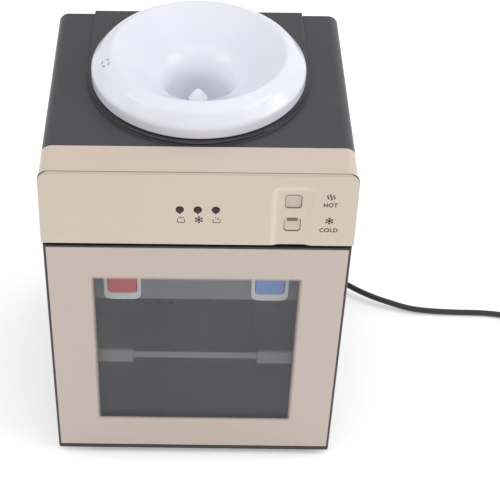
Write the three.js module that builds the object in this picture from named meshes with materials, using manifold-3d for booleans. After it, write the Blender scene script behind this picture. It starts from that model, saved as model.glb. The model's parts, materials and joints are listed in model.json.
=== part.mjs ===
// Countertop water dispenser: a bottle stands upside down in the white seat, the upper tank chills
// the water, the lower tank heats it, and two press taps behind the glass door fill a cup.
// Millimetres. +X is the user's right, +Y the rear, +Z up. The origin is on the table, under the
// middle of the case.
import * as THREE from 'three';
import { mergeVertices } from 'three/addons/utils/BufferGeometryUtils.js';
import Module from 'manifold-3d';

const wasm = await Module();
wasm.setup();

// ---- case -------------------------------------------------------------------------------------
const CASE_WIDTH = 300;
const CASE_DEPTH = 280;
const CASE_TOP = 395;
const FOOT_HEIGHT = 8;
const FOOT_RADIUS = 13;
const FOOT_INSET = 30;
const FOOT_PLUG_HEIGHT = 5;
const FOOT_PLUG_RADIUS = 6;
const WALL = 2.6;
const FIT = 0.3;
const PLAY = 0.8;
const PAN_RIM_HEIGHT = 16;
const CORNER_RADIUS = 11;
const TOP_SKIRT = 20;

// ---- top platform and its mouth ---------------------------------------------------------------
const PLATFORM_RISE = 4;
const PLATFORM_RADIUS = 111;
const SEAT_TO_REAR = 117.3;
const MOUTH_RADIUS = 84;

// ---- head and control panel -------------------------------------------------------------------
const HEAD_DROP = 79.4;
const HEAD_DEPTH = 48.9;
const HEAD_PROUD = 1;
const PANEL_TILT = THREE.MathUtils.degToRad(4.7);
const PANEL_THICKNESS = 4;
const SCOOP_CENTRE_X = 89.8;
const SCOOP_FLOOR_WIDTH = 22.2;
const SCOOP_SLOPE = 9;
const SCOOP_SLOPE_STEPS = 6;
const SCOOP_DEPTH = 1.8;
const SCOOP_TOP_DROP = 8.5;
const SCOOP_RADIUS = 1.5;
const SCOOP_BACKING = 1.2;

// ---- rocker switches --------------------------------------------------------------------------
const ROCKER_WIDTH = 15.1;
const ROCKER_HEIGHT = 14.4;
const ROCKER_DEPTH = 8;
const ROCKER_SETBACK = 1;
const ROCKER_DIP = 0.5;
const ROCKER_PIVOT_DEPTH = 5;
const ROCKER_OFF_TILT = THREE.MathUtils.degToRad(4);
const ROCKER_ON_TILT = THREE.MathUtils.degToRad(-9);
const ROCKER_GAP = 0.8;
const ROCKER_SIDE_GAP = 0.5;
const ROCKER_CORNER = 2.6;
const ROCKER_AXLE_RADIUS = 1.3;
const HOT_SWITCH_DROP = 30.2;
const COLD_SWITCH_DROP = 56.6;
const HOUSING_WALL = 2;
const HOUSING_DEPTH = 13;

// ---- indicators -------------------------------------------------------------------------------
const LENS_RADIUS = 3.8;
const LENS_FLANGE = 1.2;
const LENS_CROWN = 0.6;
const LENS_PITCH = 17;
const LENS_DROP = 39.5;
const BOARD_THICKNESS = 1.6;
const BOARD_GAP = 6;
const LED_RADIUS = 1.8;

// ---- door -------------------------------------------------------------------------------------
const DOOR_SETBACK = 1.3;
const DOOR_THICKNESS = 14;
const DOOR_TO_CASE = 2;
const DOOR_SIDE_REVEAL = 1;
const DOOR_TO_HEAD = 4.2;
const DOOR_EDGE_RADIUS = 5;
const DOOR_RIM = 2.2;
const DOOR_SILL = 5.2;
const DOOR_PANEL_THICKNESS = 3;
const DOOR_FRAME_WALL = 3;
const WINDOW_SIDE_MARGIN = 45.3;
const WINDOW_TOP_MARGIN = 42.2;
const WINDOW_BOTTOM_MARGIN = 49.1;
const WINDOW_RADIUS = 4;
const WINDOW_THICKNESS = 3.4;
const WINDOW_LAND = 5;

// ---- hinge and catch --------------------------------------------------------------------------
const HINGE_INSET = 6.5;
const HINGE_PIN_RADIUS = 2.2;
const HINGE_PIN_REACH = 9;
const HINGE_BOSS_RADIUS = 5.2;
const BRACKET_THICKNESS = 2.4;
const BRACKET_EDGE = 3.5;
const BRACKET_WIDTH = 26;
const BRACKET_REACH = 20;
const MAGNET_WIDTH = 9;
const MAGNET_HEIGHT = 30;
const MAGNET_DROP = 70;

// ---- cup chamber ------------------------------------------------------------------------------
const CHAMBER_SIDE_GAP = 25;
const CHAMBER_DEPTH = 96;
const FASCIA_SETBACK = 24;
const FASCIA_DROP = 114.6;
const SHELF_TOP = 127;
const SHELF_THICKNESS = 3;
const SHELF_LIP_TOP = 141.2;
const SHELF_LIP_BOTTOM = 123.9;
const SHELF_LIP_THICKNESS = 3;
const SHELF_LIP_SETBACK = 6;
const NOTCH_HALF_WIDTH = 66;
const NOTCH_DEPTH = 24;

// ---- drip tray --------------------------------------------------------------------------------
const TRAY_HEIGHT = 13;
const TRAY_WALL = 2;
const TRAY_DEPTH = 82;
const TRAY_SIDE_GAP = 9;
const TRAY_RIM_HEIGHT = 6;
const TRAY_CORNER = 8;
const GRILLE_THICKNESS = 2.4;
const GRILLE_LEDGE = 2;
const GRILLE_SLOT_WIDTH = 5;
const GRILLE_SLOT_PITCH = 13;
const GRILLE_SLOT_MARGIN = 10;

// ---- taps -------------------------------------------------------------------------------------
const TAP_SPACING = 149.6;
const TAP_WIDTH = 37.5;
const TAP_HEIGHT = 62;
const TAP_REACH = 15;
const TAP_LIFT = 14;
const TAP_RADIUS = 8;
const TAP_SIDE_MARGIN = 3.6;
const TAP_BOTTOM_MARGIN = 9;
const TAP_POCKET_DEPTH = 11;
const TAP_SHANK_RADIUS = 9;
const TAP_SHANK_REACH = 14;
const TAP_FLANGE_RADIUS = 13;
const NOZZLE_RADIUS = 4.5;
const NOZZLE_BORE = 2.6;
const NOZZLE_DROP = 4;
const NOZZLE_SETBACK = 5.5;
const LEVER_THICKNESS = 3.6;
const LEVER_AXLE_RADIUS = 2;
const LEVER_AXLE_DROP = 6;
const PLUNGER_RADIUS = 2.5;
const PLUNGER_LENGTH = 17;

// ---- bottle seat ------------------------------------------------------------------------------
const SEAT_CLEARANCE = 1.5;
const SEAT_RADIUS = 108;
const SEAT_SIDE_HEIGHT = 12;
const SEAT_CREST_RADIUS = 87.4;
const SEAT_HEIGHT = 29.9;
const SEAT_WALL = 3;
const SEAT_EDGE = 3.4;
const THROAT_LIP_DROP = 34.4;
const THROAT_RADIUS = 31.5;
const THROAT_FLARE = 7.9;
const THROAT_LENGTH = 55;
const THROAT_FLOOR_BORE = 9;
const SPIGOT_WALL = 2.6;
const SPIGOT_DEPTH = 9;
const PROBE_RADIUS = 10;
const PROBE_HEIGHT = 40;
const PROBE_FLANGE_RADIUS = 19;
const PROBE_WALL = 2;
const PROBE_SLOT_WIDTH = 5;

// ---- cold side --------------------------------------------------------------------------------
const COLD_TANK_RADIUS = 62;
const COLD_TANK_HEIGHT = 98;
const COLD_TANK_RIM_DROP = 23;
const TANK_WALL = 1.4;
const LID_THICKNESS = 2.8;
const LID_OVERHANG = 2;
const LID_COLLAR_DEPTH = 8;
const SEAL_THICKNESS = 3.6;
const SEAL_HEIGHT = 5;
const FOAM_THICKNESS = 15;
const TANK_PORT_RADIUS = 6;
const COLD_PORT_OFFSET = 32;
const SEPARATOR_DROP = 38;
const SEPARATOR_THICKNESS = 2;
const SEPARATOR_GAP = 3;
const BLOCK_SIZE = 40;
const SINK_SIZE = 90;
const SINK_BASE = 4;
const SINK_FINS = 11;
const FIN_THICKNESS = 1.6;
const FAN_DEPTH = 10;
const FAN_BORE = 42;
const FAN_HUB_RADIUS = 15;
const FAN_BLADES = 7;
const BLADE_THICKNESS = 1.4;
const COOLING_DROP = 62;

// ---- hot side ---------------------------------------------------------------------------------
const HOT_TANK_RADIUS = 40;
const HOT_TANK_HEIGHT = 96;
const HOT_TANK_BOTTOM = 112;
const HOT_TANK_X = -72;
const HOT_TANK_TO_REAR = 82;
const HOT_NECK_RADIUS = 6;
const HOT_NECK_HEIGHT = 8;
const HOT_PORT_OFFSET = 20;
const HEATER_RADIUS = 24;
const HEATER_HEIGHT = 9;
const DRAIN_X = -95;
const DRAIN_Z = 62;
const DRAIN_CAP_RADIUS = 12;
const DRAIN_CAP_LENGTH = 12;
const DRAIN_RECESS = 0.6;
const TUBE_RADIUS = 4.5;

// ---- power ------------------------------------------------------------------------------------
const POWER_BOARD_WIDTH = 110;
const POWER_BOARD_DEPTH = 70;
const POWER_BOARD_X = 62;
const POWER_BOARD_LIFT = 8;
const CORD_RADIUS = 3.5;
const CORD_EXIT_INSET = 80;
const CORD_EXIT_Z = 40;
const GLAND_COLLAR_RADIUS = 8.5;
const GLAND_TIP_RADIUS = 4.9;
const GLAND_LENGTH = 24;
const GLAND_INSIDE = 7;
const COIL_RADIUS = 40;
const COIL_WIDTH = 22;
const COIL_HEIGHT = 15;
const COIL_FROM_SIDE = 305;
const COIL_FROM_REAR = -40;
const PLUG_WIDTH = 28;
const PLUG_LENGTH = 34;
const PLUG_HEIGHT = 20;
const PLUG_GUARD_LENGTH = 20;
const PLUG_TO_COIL = 30;
const PLUG_TURN = THREE.MathUtils.degToRad(-10);
const PIN_WIDTH = 6.3;
const PIN_THICKNESS = 1.6;
const PIN_LENGTH = 18;
const PIN_SPREAD = 7.9;

// ---- faceting ---------------------------------------------------------------------------------
const ROUND_PLATFORM = 64;
const ROUND_LARGE = 40;
const ROUND_MEDIUM = 24;
const ROUND_SMALL = 12;
const CORD_SIDES = 8;
const CORD_STEPS = 34;
const CORNER_STEPS = 6;
const MERGE_DISTANCE = 1e-4;

// ---- places worked out from the sizes above -----------------------------------------------------
const SIDE = CASE_WIDTH / 2;
const FRONT = -CASE_DEPTH / 2;
const REAR = CASE_DEPTH / 2;
const DOOR_FRONT = FRONT + DOOR_SETBACK;
const DOOR_BACK = DOOR_FRONT + DOOR_THICKNESS;
const CASE_FRONT = DOOR_BACK + DOOR_TO_CASE;
const HEAD_BOTTOM = CASE_TOP - HEAD_DROP;
const HEAD_TOP = CASE_TOP + HEAD_PROUD;
const HEAD_SEAM = FRONT + HEAD_DEPTH;
const PAN_TOP = FOOT_HEIGHT + PAN_RIM_HEIGHT;
const SKIRT_BOTTOM = CASE_TOP - TOP_SKIRT;
const PLATFORM_TOP = CASE_TOP + PLATFORM_RISE;
const SEAT_Y = REAR - SEAT_TO_REAR;
const DOOR_BOTTOM = FOOT_HEIGHT + 2 * FIT;
const DOOR_TOP = HEAD_BOTTOM - DOOR_TO_HEAD;
const DOOR_SIDE = SIDE - DOOR_SIDE_REVEAL;
const HINGE_X = -DOOR_SIDE + HINGE_INSET;
const HINGE_Y = DOOR_FRONT + DOOR_THICKNESS / 2;
const CHAMBER_SIDE = SIDE - CHAMBER_SIDE_GAP;
const CHAMBER_REAR = CASE_FRONT + CHAMBER_DEPTH;
const FASCIA_FRONT = CASE_FRONT + FASCIA_SETBACK;
const FASCIA_BOTTOM = HEAD_BOTTOM - FASCIA_DROP;
const TAP_FRONT = FASCIA_FRONT - FIT - TAP_REACH;
const TAP_BOTTOM = FASCIA_BOTTOM + TAP_LIFT;
const TAP_TOP = TAP_BOTTOM + TAP_HEIGHT;
const LEVER_AXLE_Z = TAP_TOP - LEVER_AXLE_DROP;
const TRAY_BOTTOM = SHELF_TOP + FIT;
const TRAY_TOP = TRAY_BOTTOM + TRAY_HEIGHT;
const TRAY_SIDE = CHAMBER_SIDE - TRAY_SIDE_GAP;
const TRAY_FRONT = CASE_FRONT + SHELF_LIP_SETBACK + SHELF_LIP_THICKNESS + FIT;
const SEAT_BOTTOM = PLATFORM_TOP + SEAT_CLEARANCE;
const SEAT_TOP = SEAT_BOTTOM + SEAT_HEIGHT;
const THROAT_LIP_RADIUS = THROAT_RADIUS + THROAT_FLARE;
const THROAT_LIP_Z = SEAT_TOP - THROAT_LIP_DROP;
const THROAT_FLOOR = THROAT_LIP_Z - THROAT_LENGTH;
const COLD_TANK_TOP = CASE_TOP - COLD_TANK_RIM_DROP;
const COLD_TANK_BOTTOM = COLD_TANK_TOP - COLD_TANK_HEIGHT;
const COLD_FOAM_BOTTOM = COLD_TANK_BOTTOM - FIT - FOAM_THICKNESS;
const COOLING_Z = CASE_TOP - COOLING_DROP;
const FAN_REAR = REAR - WALL - FIT;
const FAN_FRONT = FAN_REAR - FAN_DEPTH;
const SINK_FRONT = SEAT_Y + COLD_TANK_RADIUS + FIT + FOAM_THICKNESS + 2 * FIT;
const HOT_TANK_Y = REAR - HOT_TANK_TO_REAR;
const HOT_TANK_TOP = HOT_TANK_BOTTOM + HOT_TANK_HEIGHT;
const CORD_EXIT_X = SIDE - CORD_EXIT_INSET;
const GLAND_TIP_Y = REAR + GLAND_LENGTH;
const COIL_X = SIDE + COIL_FROM_SIDE;
const COIL_Y = REAR + COIL_FROM_REAR;

// Where each switch and lens stands, as a height on the tilted panel.
const HOT_SWITCH_Z = HEAD_TOP - HOT_SWITCH_DROP;
const COLD_SWITCH_Z = HEAD_TOP - COLD_SWITCH_DROP;
const LENS_Z = HEAD_TOP - LENS_DROP;

// ---- geometry helpers -------------------------------------------------------------------------
function toSolid(geometry) {
  const bare = geometry.clone();
  bare.deleteAttribute('normal');
  bare.deleteAttribute('uv');
  const merged = mergeVertices(bare, MERGE_DISTANCE);
  const index = merged.index.array;
  const kept = [];
  for (let i = 0; i < index.length; i += 3) {
    const [a, b, c] = [index[i], index[i + 1], index[i + 2]];
    if (a !== b && b !== c && c !== a) kept.push(a, b, c);
  }
  return new wasm.Manifold(new wasm.Mesh({
    numProp: 3,
    vertProperties: new Float32Array(merged.attributes.position.array),
    triVerts: new Uint32Array(kept),
  }));
}

function toGeometry(solid) {
  const { vertProperties, triVerts } = solid.getMesh();
  const geometry = new THREE.BufferGeometry();
  geometry.setAttribute('position', new THREE.BufferAttribute(vertProperties, 3));
  geometry.setIndex(new THREE.BufferAttribute(triVerts, 1));
  return geometry;
}

function cut(base, ...tools) {
  return toGeometry(tools.reduce((solid, tool) => solid.subtract(toSolid(tool)), toSolid(base)));
}

function join(...pieces) {
  return toGeometry(pieces.map(toSolid).reduce((whole, piece) => whole.add(piece)));
}

function common(a, b) {
  return toGeometry(toSolid(a).intersect(toSolid(b)));
}

function box([x0, x1], [y0, y1], [z0, z1]) {
  const geometry = new THREE.BoxGeometry(x1 - x0, y1 - y0, z1 - z0);
  return geometry.translate((x0 + x1) / 2, (y0 + y1) / 2, (z0 + z1) / 2);
}

function polygon(points) {
  return new THREE.Shape(points.map(([x, y]) => new THREE.Vector2(x, y)));
}

// A rectangle whose two top and two bottom corners have their own radii.
function roundedOutline([x0, x1], [y0, y1], topRadius, bottomRadius) {
  const shape = new THREE.Shape();
  const quarter = Math.PI / 2;
  shape.moveTo(x0 + bottomRadius, y0);
  shape.lineTo(x1 - bottomRadius, y0);
  shape.absarc(x1 - bottomRadius, y0 + bottomRadius, bottomRadius, -quarter, 0);
  shape.lineTo(x1, y1 - topRadius);
  shape.absarc(x1 - topRadius, y1 - topRadius, topRadius, 0, quarter);
  shape.lineTo(x0 + topRadius, y1);
  shape.absarc(x0 + topRadius, y1 - topRadius, topRadius, quarter, 2 * quarter);
  shape.lineTo(x0, y0 + bottomRadius);
  shape.absarc(x0 + bottomRadius, y0 + bottomRadius, bottomRadius, 2 * quarter, 3 * quarter);
  return shape;
}

// The shape is drawn across the named axis: (y, z) for x, (x, z) for y, (x, y) for z.
function prism(shape, axis, [from, to], steps = CORNER_STEPS) {
  const options = { depth: to - from, bevelEnabled: false, curveSegments: steps };
  const geometry = new THREE.ExtrudeGeometry(shape, options);
  if (axis === 'z') return geometry.translate(0, 0, from);
  if (axis === 'y') return geometry.rotateX(Math.PI / 2).translate(0, to, 0);
  const basis = new THREE.Matrix4().makeBasis(
    new THREE.Vector3(0, 1, 0),
    new THREE.Vector3(0, 0, 1),
    new THREE.Vector3(1, 0, 0),
  );
  return geometry.applyMatrix4(basis).translate(from, 0, 0);
}

// A profile of [radius, height] pairs, counterclockwise, turned about a vertical axis at (x, y).
function turned(profile, x, y, sides = ROUND_LARGE) {
  const points = profile.map(([radius, height]) => new THREE.Vector2(radius, height));
  return new THREE.LatheGeometry(points, sides).rotateX(Math.PI / 2).translate(x, y, 0);
}

// A closed ring or sleeve between two radii and two heights.
function ring(inner, outer, [z0, z1], x, y, sides = ROUND_LARGE) {
  return turned([[inner, z0], [outer, z0], [outer, z1], [inner, z1], [inner, z0]], x, y, sides);
}

function disc(radius, [z0, z1], x, y, sides = ROUND_LARGE) {
  return turned([[0, z0], [radius, z0], [radius, z1], [0, z1]], x, y, sides);
}

// A round bar along Y or X, from one place to the other.
function barY(radius, [y0, y1], x, z, sides = ROUND_SMALL) {
  const bar = new THREE.CylinderGeometry(radius, radius, y1 - y0, sides);
  return bar.translate(x, (y0 + y1) / 2, z);
}

function barX(radius, [x0, x1], y, z, sides = ROUND_SMALL) {
  const bar = new THREE.CylinderGeometry(radius, radius, x1 - x0, sides);
  return bar.rotateZ(Math.PI / 2).translate((x0 + x1) / 2, y, z);
}

function tubeAlong(points, radius, sides, steps) {
  const path = new THREE.CatmullRomCurve3(points.map((p) => new THREE.Vector3(...p)));
  const section = new THREE.Shape();
  section.absarc(0, 0, radius, 0, 2 * Math.PI);
  const options = { steps, extrudePath: path, curveSegments: sides / 2 };
  return new THREE.ExtrudeGeometry(section, options);
}

// ---- finishes ---------------------------------------------------------------------------------
const FINISH = {
  darkCase: { color: 0x3c3d41, roughness: 0.5, metalness: 0 },
  champagne: { color: 0xc9b9a8, roughness: 0.38, metalness: 0.35 },
  smokedGlass: { color: 0x4a4c50, roughness: 0.08, metalness: 0 },
  blackTrim: { color: 0x232427, roughness: 0.55, metalness: 0 },
  liner: { color: 0x4b4d50, roughness: 0.6, metalness: 0 },
  whitePlastic: { color: 0xeceef2, roughness: 0.22, metalness: 0 },
  hotRed: { color: 0xb8323a, roughness: 0.3, metalness: 0 },
  coldBlue: { color: 0x3d63b8, roughness: 0.3, metalness: 0 },
  rocker: { color: 0xbdb0a6, roughness: 0.4, metalness: 0.1 },
  lens: { color: 0x241c1e, roughness: 0.12, metalness: 0 },
  circuitBoard: { color: 0x1f5a3a, roughness: 0.55, metalness: 0 },
  steel: { color: 0xb9bcc0, roughness: 0.3, metalness: 0.95 },
  aluminium: { color: 0xc4c7ca, roughness: 0.4, metalness: 0.9 },
  foam: { color: 0xe9e9e4, roughness: 0.9, metalness: 0 },
  silicone: { color: 0xd9dad6, roughness: 0.6, metalness: 0 },
  rubber: { color: 0x1f1f21, roughness: 0.8, metalness: 0 },
  cord: { color: 0x26262a, roughness: 0.5, metalness: 0 },
};

const dispenser = new THREE.Group();

function addPiece(name, geometry, finish, parent = dispenser) {
  const mesh = new THREE.Mesh(geometry, new THREE.MeshStandardMaterial(FINISH[finish]));
  mesh.name = name;
  parent.add(mesh);
  return mesh;
}

// ---- case -------------------------------------------------------------------------------------
const span = (half) => [-half, half];

function basePan() {
  const outer = box(span(SIDE), [CASE_FRONT, REAR], [FOOT_HEIGHT, PAN_TOP]);
  const floor = FOOT_HEIGHT + WALL;
  const hollow = box(span(SIDE - WALL), [CASE_FRONT + WALL, REAR - WALL], [floor, PAN_TOP + WALL]);
  const sockets = footPlaces().map(([x, y]) => (
    disc(FOOT_PLUG_RADIUS + FIT, [FOOT_HEIGHT - WALL, PAN_TOP], x, y, ROUND_SMALL)
  ));
  return cut(outer, hollow, ...sockets);
}

function footPlaces() {
  const x = SIDE - FOOT_INSET;
  return [
    [-x, CASE_FRONT + FOOT_INSET],
    [x, CASE_FRONT + FOOT_INSET],
    [-x, REAR - FOOT_INSET],
    [x, REAR - FOOT_INSET],
  ];
}

function foot(x, y) {
  const padTop = FOOT_HEIGHT - FIT;
  const profile = [
    [0, 0],
    [FOOT_RADIUS - 2, 0],
    [FOOT_RADIUS, padTop],
    [FOOT_PLUG_RADIUS, padTop],
    [FOOT_PLUG_RADIUS, padTop + FOOT_PLUG_HEIGHT],
    [0, padTop + FOOT_PLUG_HEIGHT],
  ];
  return turned(profile, x, y, ROUND_SMALL);
}

function sidePanel(sign) {
  const outline = polygon([
    [CASE_FRONT, PAN_TOP + FIT],
    [REAR, PAN_TOP + FIT],
    [REAR, SKIRT_BOTTOM - FIT],
    [HEAD_SEAM + FIT, SKIRT_BOTTOM - FIT],
    [HEAD_SEAM + FIT, HEAD_BOTTOM - FIT],
    [CASE_FRONT, HEAD_BOTTOM - FIT],
  ]);
  return prism(outline, 'x', sign < 0 ? [-SIDE, WALL - SIDE] : [SIDE - WALL, SIDE]);
}

function fanGrille() {
  const slots = [];
  const slotHeight = 4;
  const pitch = 9;
  const rows = Math.floor(SINK_SIZE / pitch / 2);
  for (let row = -rows + 1; row < rows; row += 1) {
    const z = COOLING_Z + row * pitch;
    const half = Math.sqrt(Math.max(FAN_BORE ** 2 - (row * pitch) ** 2, 1));
    slots.push(box(span(half), [REAR - 2 * WALL, REAR + WALL], [z - slotHeight / 2, z + slotHeight / 2]));
  }
  return slots;
}

function rearPanel() {
  const inside = SIDE - WALL - FIT;
  const plate = box(span(inside), [REAR - WALL, REAR], [PAN_TOP + FIT, SKIRT_BOTTOM - FIT]);
  const through = [REAR - 2 * WALL, REAR + WALL];
  const drainHole = barY(DRAIN_CAP_RADIUS + PLAY, through, DRAIN_X, DRAIN_Z, ROUND_MEDIUM);
  const cordHole = barY(GLAND_COLLAR_RADIUS - 2 + FIT, through, CORD_EXIT_X, CORD_EXIT_Z);
  return cut(plate, drainHole, cordHole, ...fanGrille());
}

function topCover() {
  const along = [HEAD_SEAM + FIT, REAR];
  const shell = prism(
    roundedOutline(span(SIDE), [SKIRT_BOTTOM, CASE_TOP], CORNER_RADIUS, 0), 'y', along);
  const below = roundedOutline(
    span(SIDE - WALL), [SKIRT_BOTTOM - WALL, CASE_TOP - WALL], CORNER_RADIUS - WALL, 0);
  const hollow = prism(below, 'y', [HEAD_SEAM - WALL, REAR - WALL]);
  const platform = join(
    disc(PLATFORM_RADIUS, [CASE_TOP - WALL / 2, PLATFORM_TOP], 0, SEAT_Y, ROUND_PLATFORM),
    box(span(PLATFORM_RADIUS), [SEAT_Y, REAR], [CASE_TOP - WALL / 2, PLATFORM_TOP]),
  );
  const mouth = disc(MOUTH_RADIUS, [SKIRT_BOTTOM, PLATFORM_TOP + WALL], 0, SEAT_Y);
  return cut(join(cut(shell, hollow), platform), mouth);
}

// ---- head -------------------------------------------------------------------------------------
// Everything behind the panel: a block whose front face leans back with the panel.
function leaningBlock(setback, depth) {
  const block = box(span(CASE_WIDTH), [setback, setback + depth], [-HEAD_DROP, 2 * HEAD_DROP]);
  return block.rotateX(PANEL_TILT * -1).translate(0, FRONT, HEAD_BOTTOM);
}

function headOutline(inset) {
  return roundedOutline(
    span(SIDE - inset),
    [HEAD_BOTTOM + inset, HEAD_TOP - inset],
    CORNER_RADIUS - inset,
    Math.max(2 - inset, 0.01),
  );
}

function headShroud() {
  const along = [FRONT - WALL, HEAD_SEAM];
  const tube = cut(
    prism(headOutline(0), 'y', along),
    prism(headOutline(WALL), 'y', [FRONT - 2 * WALL, HEAD_SEAM + WALL]),
  );
  const pinHole = disc(HINGE_PIN_RADIUS + FIT, [HEAD_BOTTOM - WALL, HEAD_BOTTOM + 2 * WALL],
    HINGE_X, HINGE_Y, ROUND_SMALL);
  return cut(common(tube, leaningBlock(PANEL_THICKNESS + FIT, 2 * HEAD_DEPTH)), pinHole);
}

// A depth behind the panel's face and a height, as a place in the dispenser's frame.
function panelPlace(height, depth) {
  const rise = height - HEAD_BOTTOM;
  return FRONT + rise * Math.tan(PANEL_TILT) + depth / Math.cos(PANEL_TILT);
}

// Leans a shape that was made upright, with the panel's face at y = 0 and its place at z = 0.
function onPanel(geometry, x, height) {
  return geometry.rotateX(-PANEL_TILT).translate(x, panelPlace(height, 0), height);
}

// A recess whose sides ease from the panel's face into its floor: a stack of hulls, each between
// two rounded outlines.
function scoopCutter() {
  const half = SCOOP_FLOOR_WIDTH / 2;
  const top = HEAD_TOP - SCOOP_TOP_DROP - SCOOP_SLOPE;
  const bottom = HEAD_BOTTOM - 2 * SCOOP_SLOPE;
  const rims = [];
  for (let step = 0; step <= SCOOP_SLOPE_STEPS; step += 1) {
    const share = step / SCOOP_SLOPE_STEPS;
    const grow = SCOOP_SLOPE * share;
    const depth = SCOOP_DEPTH * (1 - share * share * (3 - 2 * share));
    const outline = roundedOutline(
      span(half + grow), [bottom - top - grow, grow], SCOOP_RADIUS + grow, 0);
    rims.push(outline.getPoints(CORNER_STEPS).map(({ x, y }) => [x, depth, y]));
  }
  rims.push(rims[SCOOP_SLOPE_STEPS].map(([x, , z]) => [x, -SCOOP_DEPTH, z]));
  const slices = rims.slice(1).map((rim, i) => wasm.Manifold.hull([...rims[i], ...rim]));
  const cutter = toGeometry(slices.reduce((whole, slice) => whole.add(slice)));
  return onPanel(cutter, SCOOP_CENTRE_X, top);
}

function scoopBacking() {
  const half = SCOOP_FLOOR_WIDTH / 2 + SCOOP_SLOPE;
  const top = HEAD_TOP - SCOOP_TOP_DROP + WALL;
  const height = top - HEAD_BOTTOM - WALL - SCOOP_BACKING;
  const back = box(span(half), [PANEL_THICKNESS / 2, PANEL_THICKNESS + SCOOP_BACKING], [-height, 0]);
  return onPanel(back, SCOOP_CENTRE_X, top);
}

function rockerOutline(sideGap, gap) {
  const corner = ROCKER_CORNER + gap;
  return roundedOutline(
    span(ROCKER_WIDTH / 2 + sideGap), span(ROCKER_HEIGHT / 2 + gap), corner, corner);
}

function rockerHole(height) {
  const hole = prism(rockerOutline(ROCKER_SIDE_GAP, ROCKER_GAP), 'y', [0, 3 * PANEL_THICKNESS], 4);
  return onPanel(hole, SCOOP_CENTRE_X, height);
}

function lensPlaces() {
  return [-LENS_PITCH, 0, LENS_PITCH];
}

function controlPanel() {
  const face = common(
    prism(headOutline(0), 'y', [FRONT - WALL, HEAD_SEAM]),
    leaningBlock(0, PANEL_THICKNESS),
  );
  const lensHoles = lensPlaces().map((x) => (
    onPanel(barY(LENS_RADIUS + FIT, [-WALL, 2 * PANEL_THICKNESS], 0, 0), x, LENS_Z)
  ));
  const backed = join(face, scoopBacking());
  return cut(backed, scoopCutter(), rockerHole(HOT_SWITCH_Z), rockerHole(COLD_SWITCH_Z), ...lensHoles);
}

// A rocker key with a shallow V face, tipped to one side about its axle.
function rocker(height, tilt) {
  const half = ROCKER_HEIGHT / 2;
  const face = ROCKER_SETBACK - ROCKER_PIVOT_DEPTH;
  const outline = polygon([
    [face, -half],
    [face + ROCKER_DEPTH, -half / 2],
    [face + ROCKER_DEPTH, half / 2],
    [face, half],
    [face + ROCKER_DIP, 0],
  ]);
  const halfWidth = ROCKER_WIDTH / 2;
  const reach = halfWidth + ROCKER_SIDE_GAP + HOUSING_WALL / 2;
  const cap = common(
    prism(outline, 'x', span(halfWidth)),
    prism(rockerOutline(0, 0), 'y', span(2 * ROCKER_DEPTH), 4),
  );
  const key = join(cap, barX(ROCKER_AXLE_RADIUS, span(reach), 0, 0));
  key.rotateX(tilt).translate(0, SCOOP_DEPTH + ROCKER_PIVOT_DEPTH, 0);
  return onPanel(key, SCOOP_CENTRE_X, height);
}

function switchHousing(height) {
  const halfWidth = ROCKER_WIDTH / 2 + ROCKER_SIDE_GAP;
  const halfHeight = ROCKER_HEIGHT / 2 + ROCKER_GAP;
  const front = PANEL_THICKNESS + SCOOP_BACKING + FIT;
  const back = front + HOUSING_DEPTH;
  const shell = cut(
    box(span(halfWidth + HOUSING_WALL), [front, back], span(halfHeight + HOUSING_WALL)),
    box(span(halfWidth), [front - WALL, back - HOUSING_WALL], span(halfHeight)),
    barX(ROCKER_AXLE_RADIUS + FIT, span(halfWidth + HOUSING_WALL + WALL),
      SCOOP_DEPTH + ROCKER_PIVOT_DEPTH, 0),
  );
  return onPanel(shell, SCOOP_CENTRE_X, height);
}

function lens(x) {
  const profile = [
    [0, 0],
    [LENS_RADIUS + LENS_FLANGE, 0],
    [LENS_RADIUS + LENS_FLANGE, 1.5],
    [LENS_RADIUS, 1.5],
    [LENS_RADIUS, 1.5 + PANEL_THICKNESS],
    [LENS_RADIUS * 0.7, 1.5 + PANEL_THICKNESS + LENS_CROWN * 0.7],
    [0, 1.5 + PANEL_THICKNESS + LENS_CROWN],
  ];
  const button = turned(profile, 0, 0, ROUND_SMALL).rotateX(Math.PI / 2);
  return onPanel(button.translate(0, PANEL_THICKNESS + 1.5 + FIT, 0), x, LENS_Z);
}

function indicatorBoard() {
  const front = PANEL_THICKNESS + BOARD_GAP;
  const board = box(span(2 * LENS_PITCH), [front, front + BOARD_THICKNESS], [-10, 10]);
  const lamps = lensPlaces().map((x) => barY(LED_RADIUS, [front - 3, front + 0.5], x, 0));
  return onPanel(join(board, ...lamps), 0, LENS_Z);
}

// ---- cup chamber ------------------------------------------------------------------------------
function tapCentres() {
  return { hot: -TAP_SPACING / 2, cold: TAP_SPACING / 2 };
}

function tapFascia() {
  const { hot, cold } = tapCentres();
  const plate = box(span(CHAMBER_SIDE - FIT), [FASCIA_FRONT, FASCIA_FRONT + WALL],
    [FASCIA_BOTTOM, HEAD_BOTTOM - FIT]);
  const holes = [hot, cold].map((x) => (
    barY(TAP_SHANK_RADIUS + FIT, [FASCIA_FRONT - WALL, FASCIA_FRONT + 2 * WALL], x, shankHeight())
  ));
  return cut(plate, ...holes);
}

function shankHeight() {
  return TAP_BOTTOM + TAP_HEIGHT / 2;
}

function chamberCeiling() {
  return box(span(CHAMBER_SIDE - FIT), [FASCIA_FRONT + WALL + FIT, CHAMBER_REAR - FIT],
    [FASCIA_BOTTOM, FASCIA_BOTTOM + WALL]);
}

function chamberBack() {
  const half = CHAMBER_SIDE + WALL;
  return box(span(half), [CHAMBER_REAR, CHAMBER_REAR + WALL], [PAN_TOP + FIT, FASCIA_BOTTOM + WALL]);
}

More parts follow.
